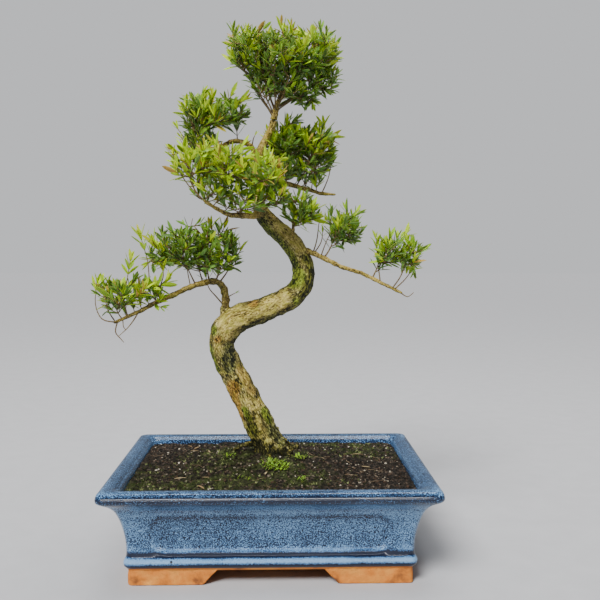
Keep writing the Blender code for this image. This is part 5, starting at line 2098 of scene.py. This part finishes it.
    def build(self, kit: "Kit") -> None:
        """Makes the soil and all that lies and grows on it."""
        stand("compost", self.hollow_for_trunk(), "soil", "soil", material=kit.compost)
        values = {"Density": 62000.0, "Smallest": 0.0008, "Largest": 0.0034, "Seed": 5, "Finish": kit.crumb}
        self.strew(kit, "soil_crumbs", [self.crumb(number) for number in range(4)], values)
        values = {"Density": 95000.0, "Smallest": 0.0014, "Largest": 0.0034, "Seed": 9, "Finish": kit.moss}
        self.strew(kit, "soil_moss", [self.tuft(number) for number in range(3)], values, mossy=True)
        stand("root_fibres", kit.lines(self.fibres(), kit.fibre), "soil")
        seedlings = kit.foliage(self.leaves_on(self.seedlings, 21, False), kit.leaf, 0.1, 3)
        stand("seedlings", seedlings, "soil")
        fallen = kit.foliage(self.leaves_on(self.fallen, 22, True), kit.dry_leaf, 0.1, 4)
        stand("fallen_leaves", fallen, "soil")


@dataclass
class DrainScreens:
    """The two plastic lattices over the drain holes keep their CAD shape."""

    nodes: tuple[str, str] = ("drain_screen_left", "drain_screen_right")

    def build(self, kit: "Kit") -> None:
        """Gives the lattices their finish."""
        for name in self.nodes:
            mesh = frame["nodes"][name].data
            mesh.materials.clear()
            mesh.materials.append(kit.plastic)
            LOG.info("%s: finish only", name)


class Kit:
    """What several sub-assemblies share: materials, Geometry Nodes trees and blades."""

    def __init__(self) -> None:
        """Makes the shared materials, trees and blades."""
        self.glaze = GlazeFinish().material()
        self.clay = TerracottaFinish().material()
        self.bark = BarkFinish().material()
        self.twig_bark = TwigFinish().material()
        self.leaf = LeafFinish().material()
        self.compost = SoilFinish().material()
        self.plastic = PlasticFinish().material()
        self.crumb = CRUMB.material()
        self.moss = MOSS.material()
        self.fibre = FIBRE.material()
        self.dry_leaf = DRY_LEAF.material()
        self.twigs = twig_graph()
        self.spray = leaf_spray_graph()
        self.scatter = scatter_graph()
        self.blades = BladeSet().shelf()

    def lines(self, source: Object, material: Material) -> Mesh:
        """Lines that carry a radius, as thin round stems."""
        return self.twigs.grow(source, {"Sides": 5, "Thickness": 1.0, "Finish": material})

    def foliage(self, leaves: Sequence[Leaf], material: Material, spread: float, seed: int) -> Mesh:
        """Leaves as blades.

        Args:
            leaves: where and how each one stands.
            material: their finish.
            spread: how much their size varies, as a share.
            seed: for the random sizes.

        Returns:
            All the blades in one mesh.
        """
        values = {"Blades": self.blades, "Leaf size": 1.0, "Size spread": spread, "Seed": seed}
        return self.spray.grow(leaf_object(leaves), {**values, "Finish": material})


@dataclass
class Studio:
    """Pale floor, soft lights, and the camera that took the photograph's view."""

    camera_place: Place = (0.0094, -0.9221, 0.3527)
    yaw: float = math.radians(1.47)
    pitch: float = math.radians(-3.51)
    roll: float = math.radians(-0.07)
    focal_pixels: float = 786.6
    surround: float = 0.30
    wall: Colour = (0.66, 0.67, 0.69)
    aim: Place = (0.0, 0.0, 0.30)
    floor_reach: float = 12.0

    def camera(self) -> None:
        """Stands the camera where the photograph was taken."""
        level = math.cos(self.pitch)
        forward = Vector((math.sin(self.yaw) * level, math.cos(self.yaw) * level, math.sin(self.pitch)))
        right = forward.cross(WORLD_UP).normalized()
        over = right.cross(forward)
        turned = Matrix.Rotation(self.roll, 3, forward)
        data = bpy.data.cameras.new("camera")
        data.sensor_width = SENSOR
        data.lens = SENSOR * self.focal_pixels / PICTURE_SIDE
        matrix = Matrix((turned @ right, turned @ over, -forward)).transposed().to_4x4()
        matrix.translation = Vector(self.camera_place) + pot_middle()
        made = linked(bpy.data.objects.new("camera", data))
        made.matrix_world = matrix
        bpy.context.scene.camera = made

    def floor(self) -> None:
        """A wide pale floor."""
        shader = Shader("floor")
        grain = shader.noise(shader.object_space(), 30.0, 2.0)
        colour = shader.ramp(grain, ((0.3, (0.42, 0.42, 0.43)), (0.7, (0.44, 0.44, 0.45))))
        corners = [(x * self.floor_reach, y * self.floor_reach, 0) for x, y in CORNERS]
        mesh = mesh_of("floor", corners, [(0, 1, 2, 3)])
        mesh.materials.append(shader.dressed(Base_Color=colour, Roughness=0.9, Specular_IOR_Level=0.0))
        linked(bpy.data.objects.new("floor", mesh))

    @staticmethod
    def lamp(name: str, kind: str, power: float, place: Place, way: Vector) -> Object:
        """A light.

        Args:
            name: the light's name.
            kind: SUN or AREA.
            power: in watts, or in watts per square metre for a sun.
            place: where it hangs.
            way: the direction that it shines in.

        Returns:
            The light.
        """
        data = bpy.data.lights.new(name, kind)
        data.energy = power
        made = linked(bpy.data.objects.new(name, data))
        made.location = place
        made.rotation_mode = "QUATERNION"
        made.rotation_quaternion = way.to_track_quat("-Z", "Y")
        return made

    def soft_box(self, name: str, power: float, place: Place, size: tuple[float, float]) -> Object:
        """A soft rectangular light of a width and a height that faces the tree."""
        made = self.lamp(name, "AREA", power, place, Vector(self.aim) - Vector(place))
        made.data.shape = "RECTANGLE"
        made.data.size, made.data.size_y = size
        return made

    def lights(self) -> None:
        """A sun that is even over the whole floor, a light overhead and a window's reflection."""
        key = self.lamp("key", "SUN", 5.8, (0.0, 0.0, 0.0), Vector((0.55, 1.0, -1.2)))
        key.data.angle = math.radians(24)
        key.visible_glossy = False
        self.soft_box("top", 30.0, (0.1, 0.2, 2.2), (1.2, 1.2))
        window = self.soft_box("window", 10.0, (-0.2, -2.3, 0.28), (1.6, 0.045))
        window.visible_diffuse = False

    def world(self) -> None:
        """A dim even surround, which the camera sees as a pale wall."""
        world = bpy.data.worlds.new("surround")
        world.use_nodes = True
        tree = NodeTree(world.node_tree)
        around = world.node_tree.nodes["Background"]
        tree.feed(around, "Color", (0.80, 0.82, 0.86, 1.0))
        tree.feed(around, "Strength", self.surround)
        wall = tree.out("ShaderNodeBackground", {"Color": (*self.wall, 1.0)})
        seen = tree.out("ShaderNodeLightPath", output="Is Camera Ray")
        choice = tree.out("ShaderNodeMixShader", {0: seen, 1: around.outputs[0], 2: wall})
        tree.feed(world.node_tree.nodes["World Output"], "Surface", choice)
        bpy.context.scene.world = world

    def build(self) -> None:
        """Makes the camera, the floor, the surround and the lights."""
        self.camera()
        self.floor()
        self.world()
        self.lights()


def main() -> None:
    """Builds every sub-assembly in order, then the studio."""
    kit = Kit()
    Pot().build(kit)
    DrainScreens().build(kit)
    Soil().build(kit)
    Trunk().build(kit)
    for plan in BRANCHES:
        Branch(plan).build(kit)
    clear_shelf(kit.blades)
    Studio().build()


if __name__ == "__main__":
    main()
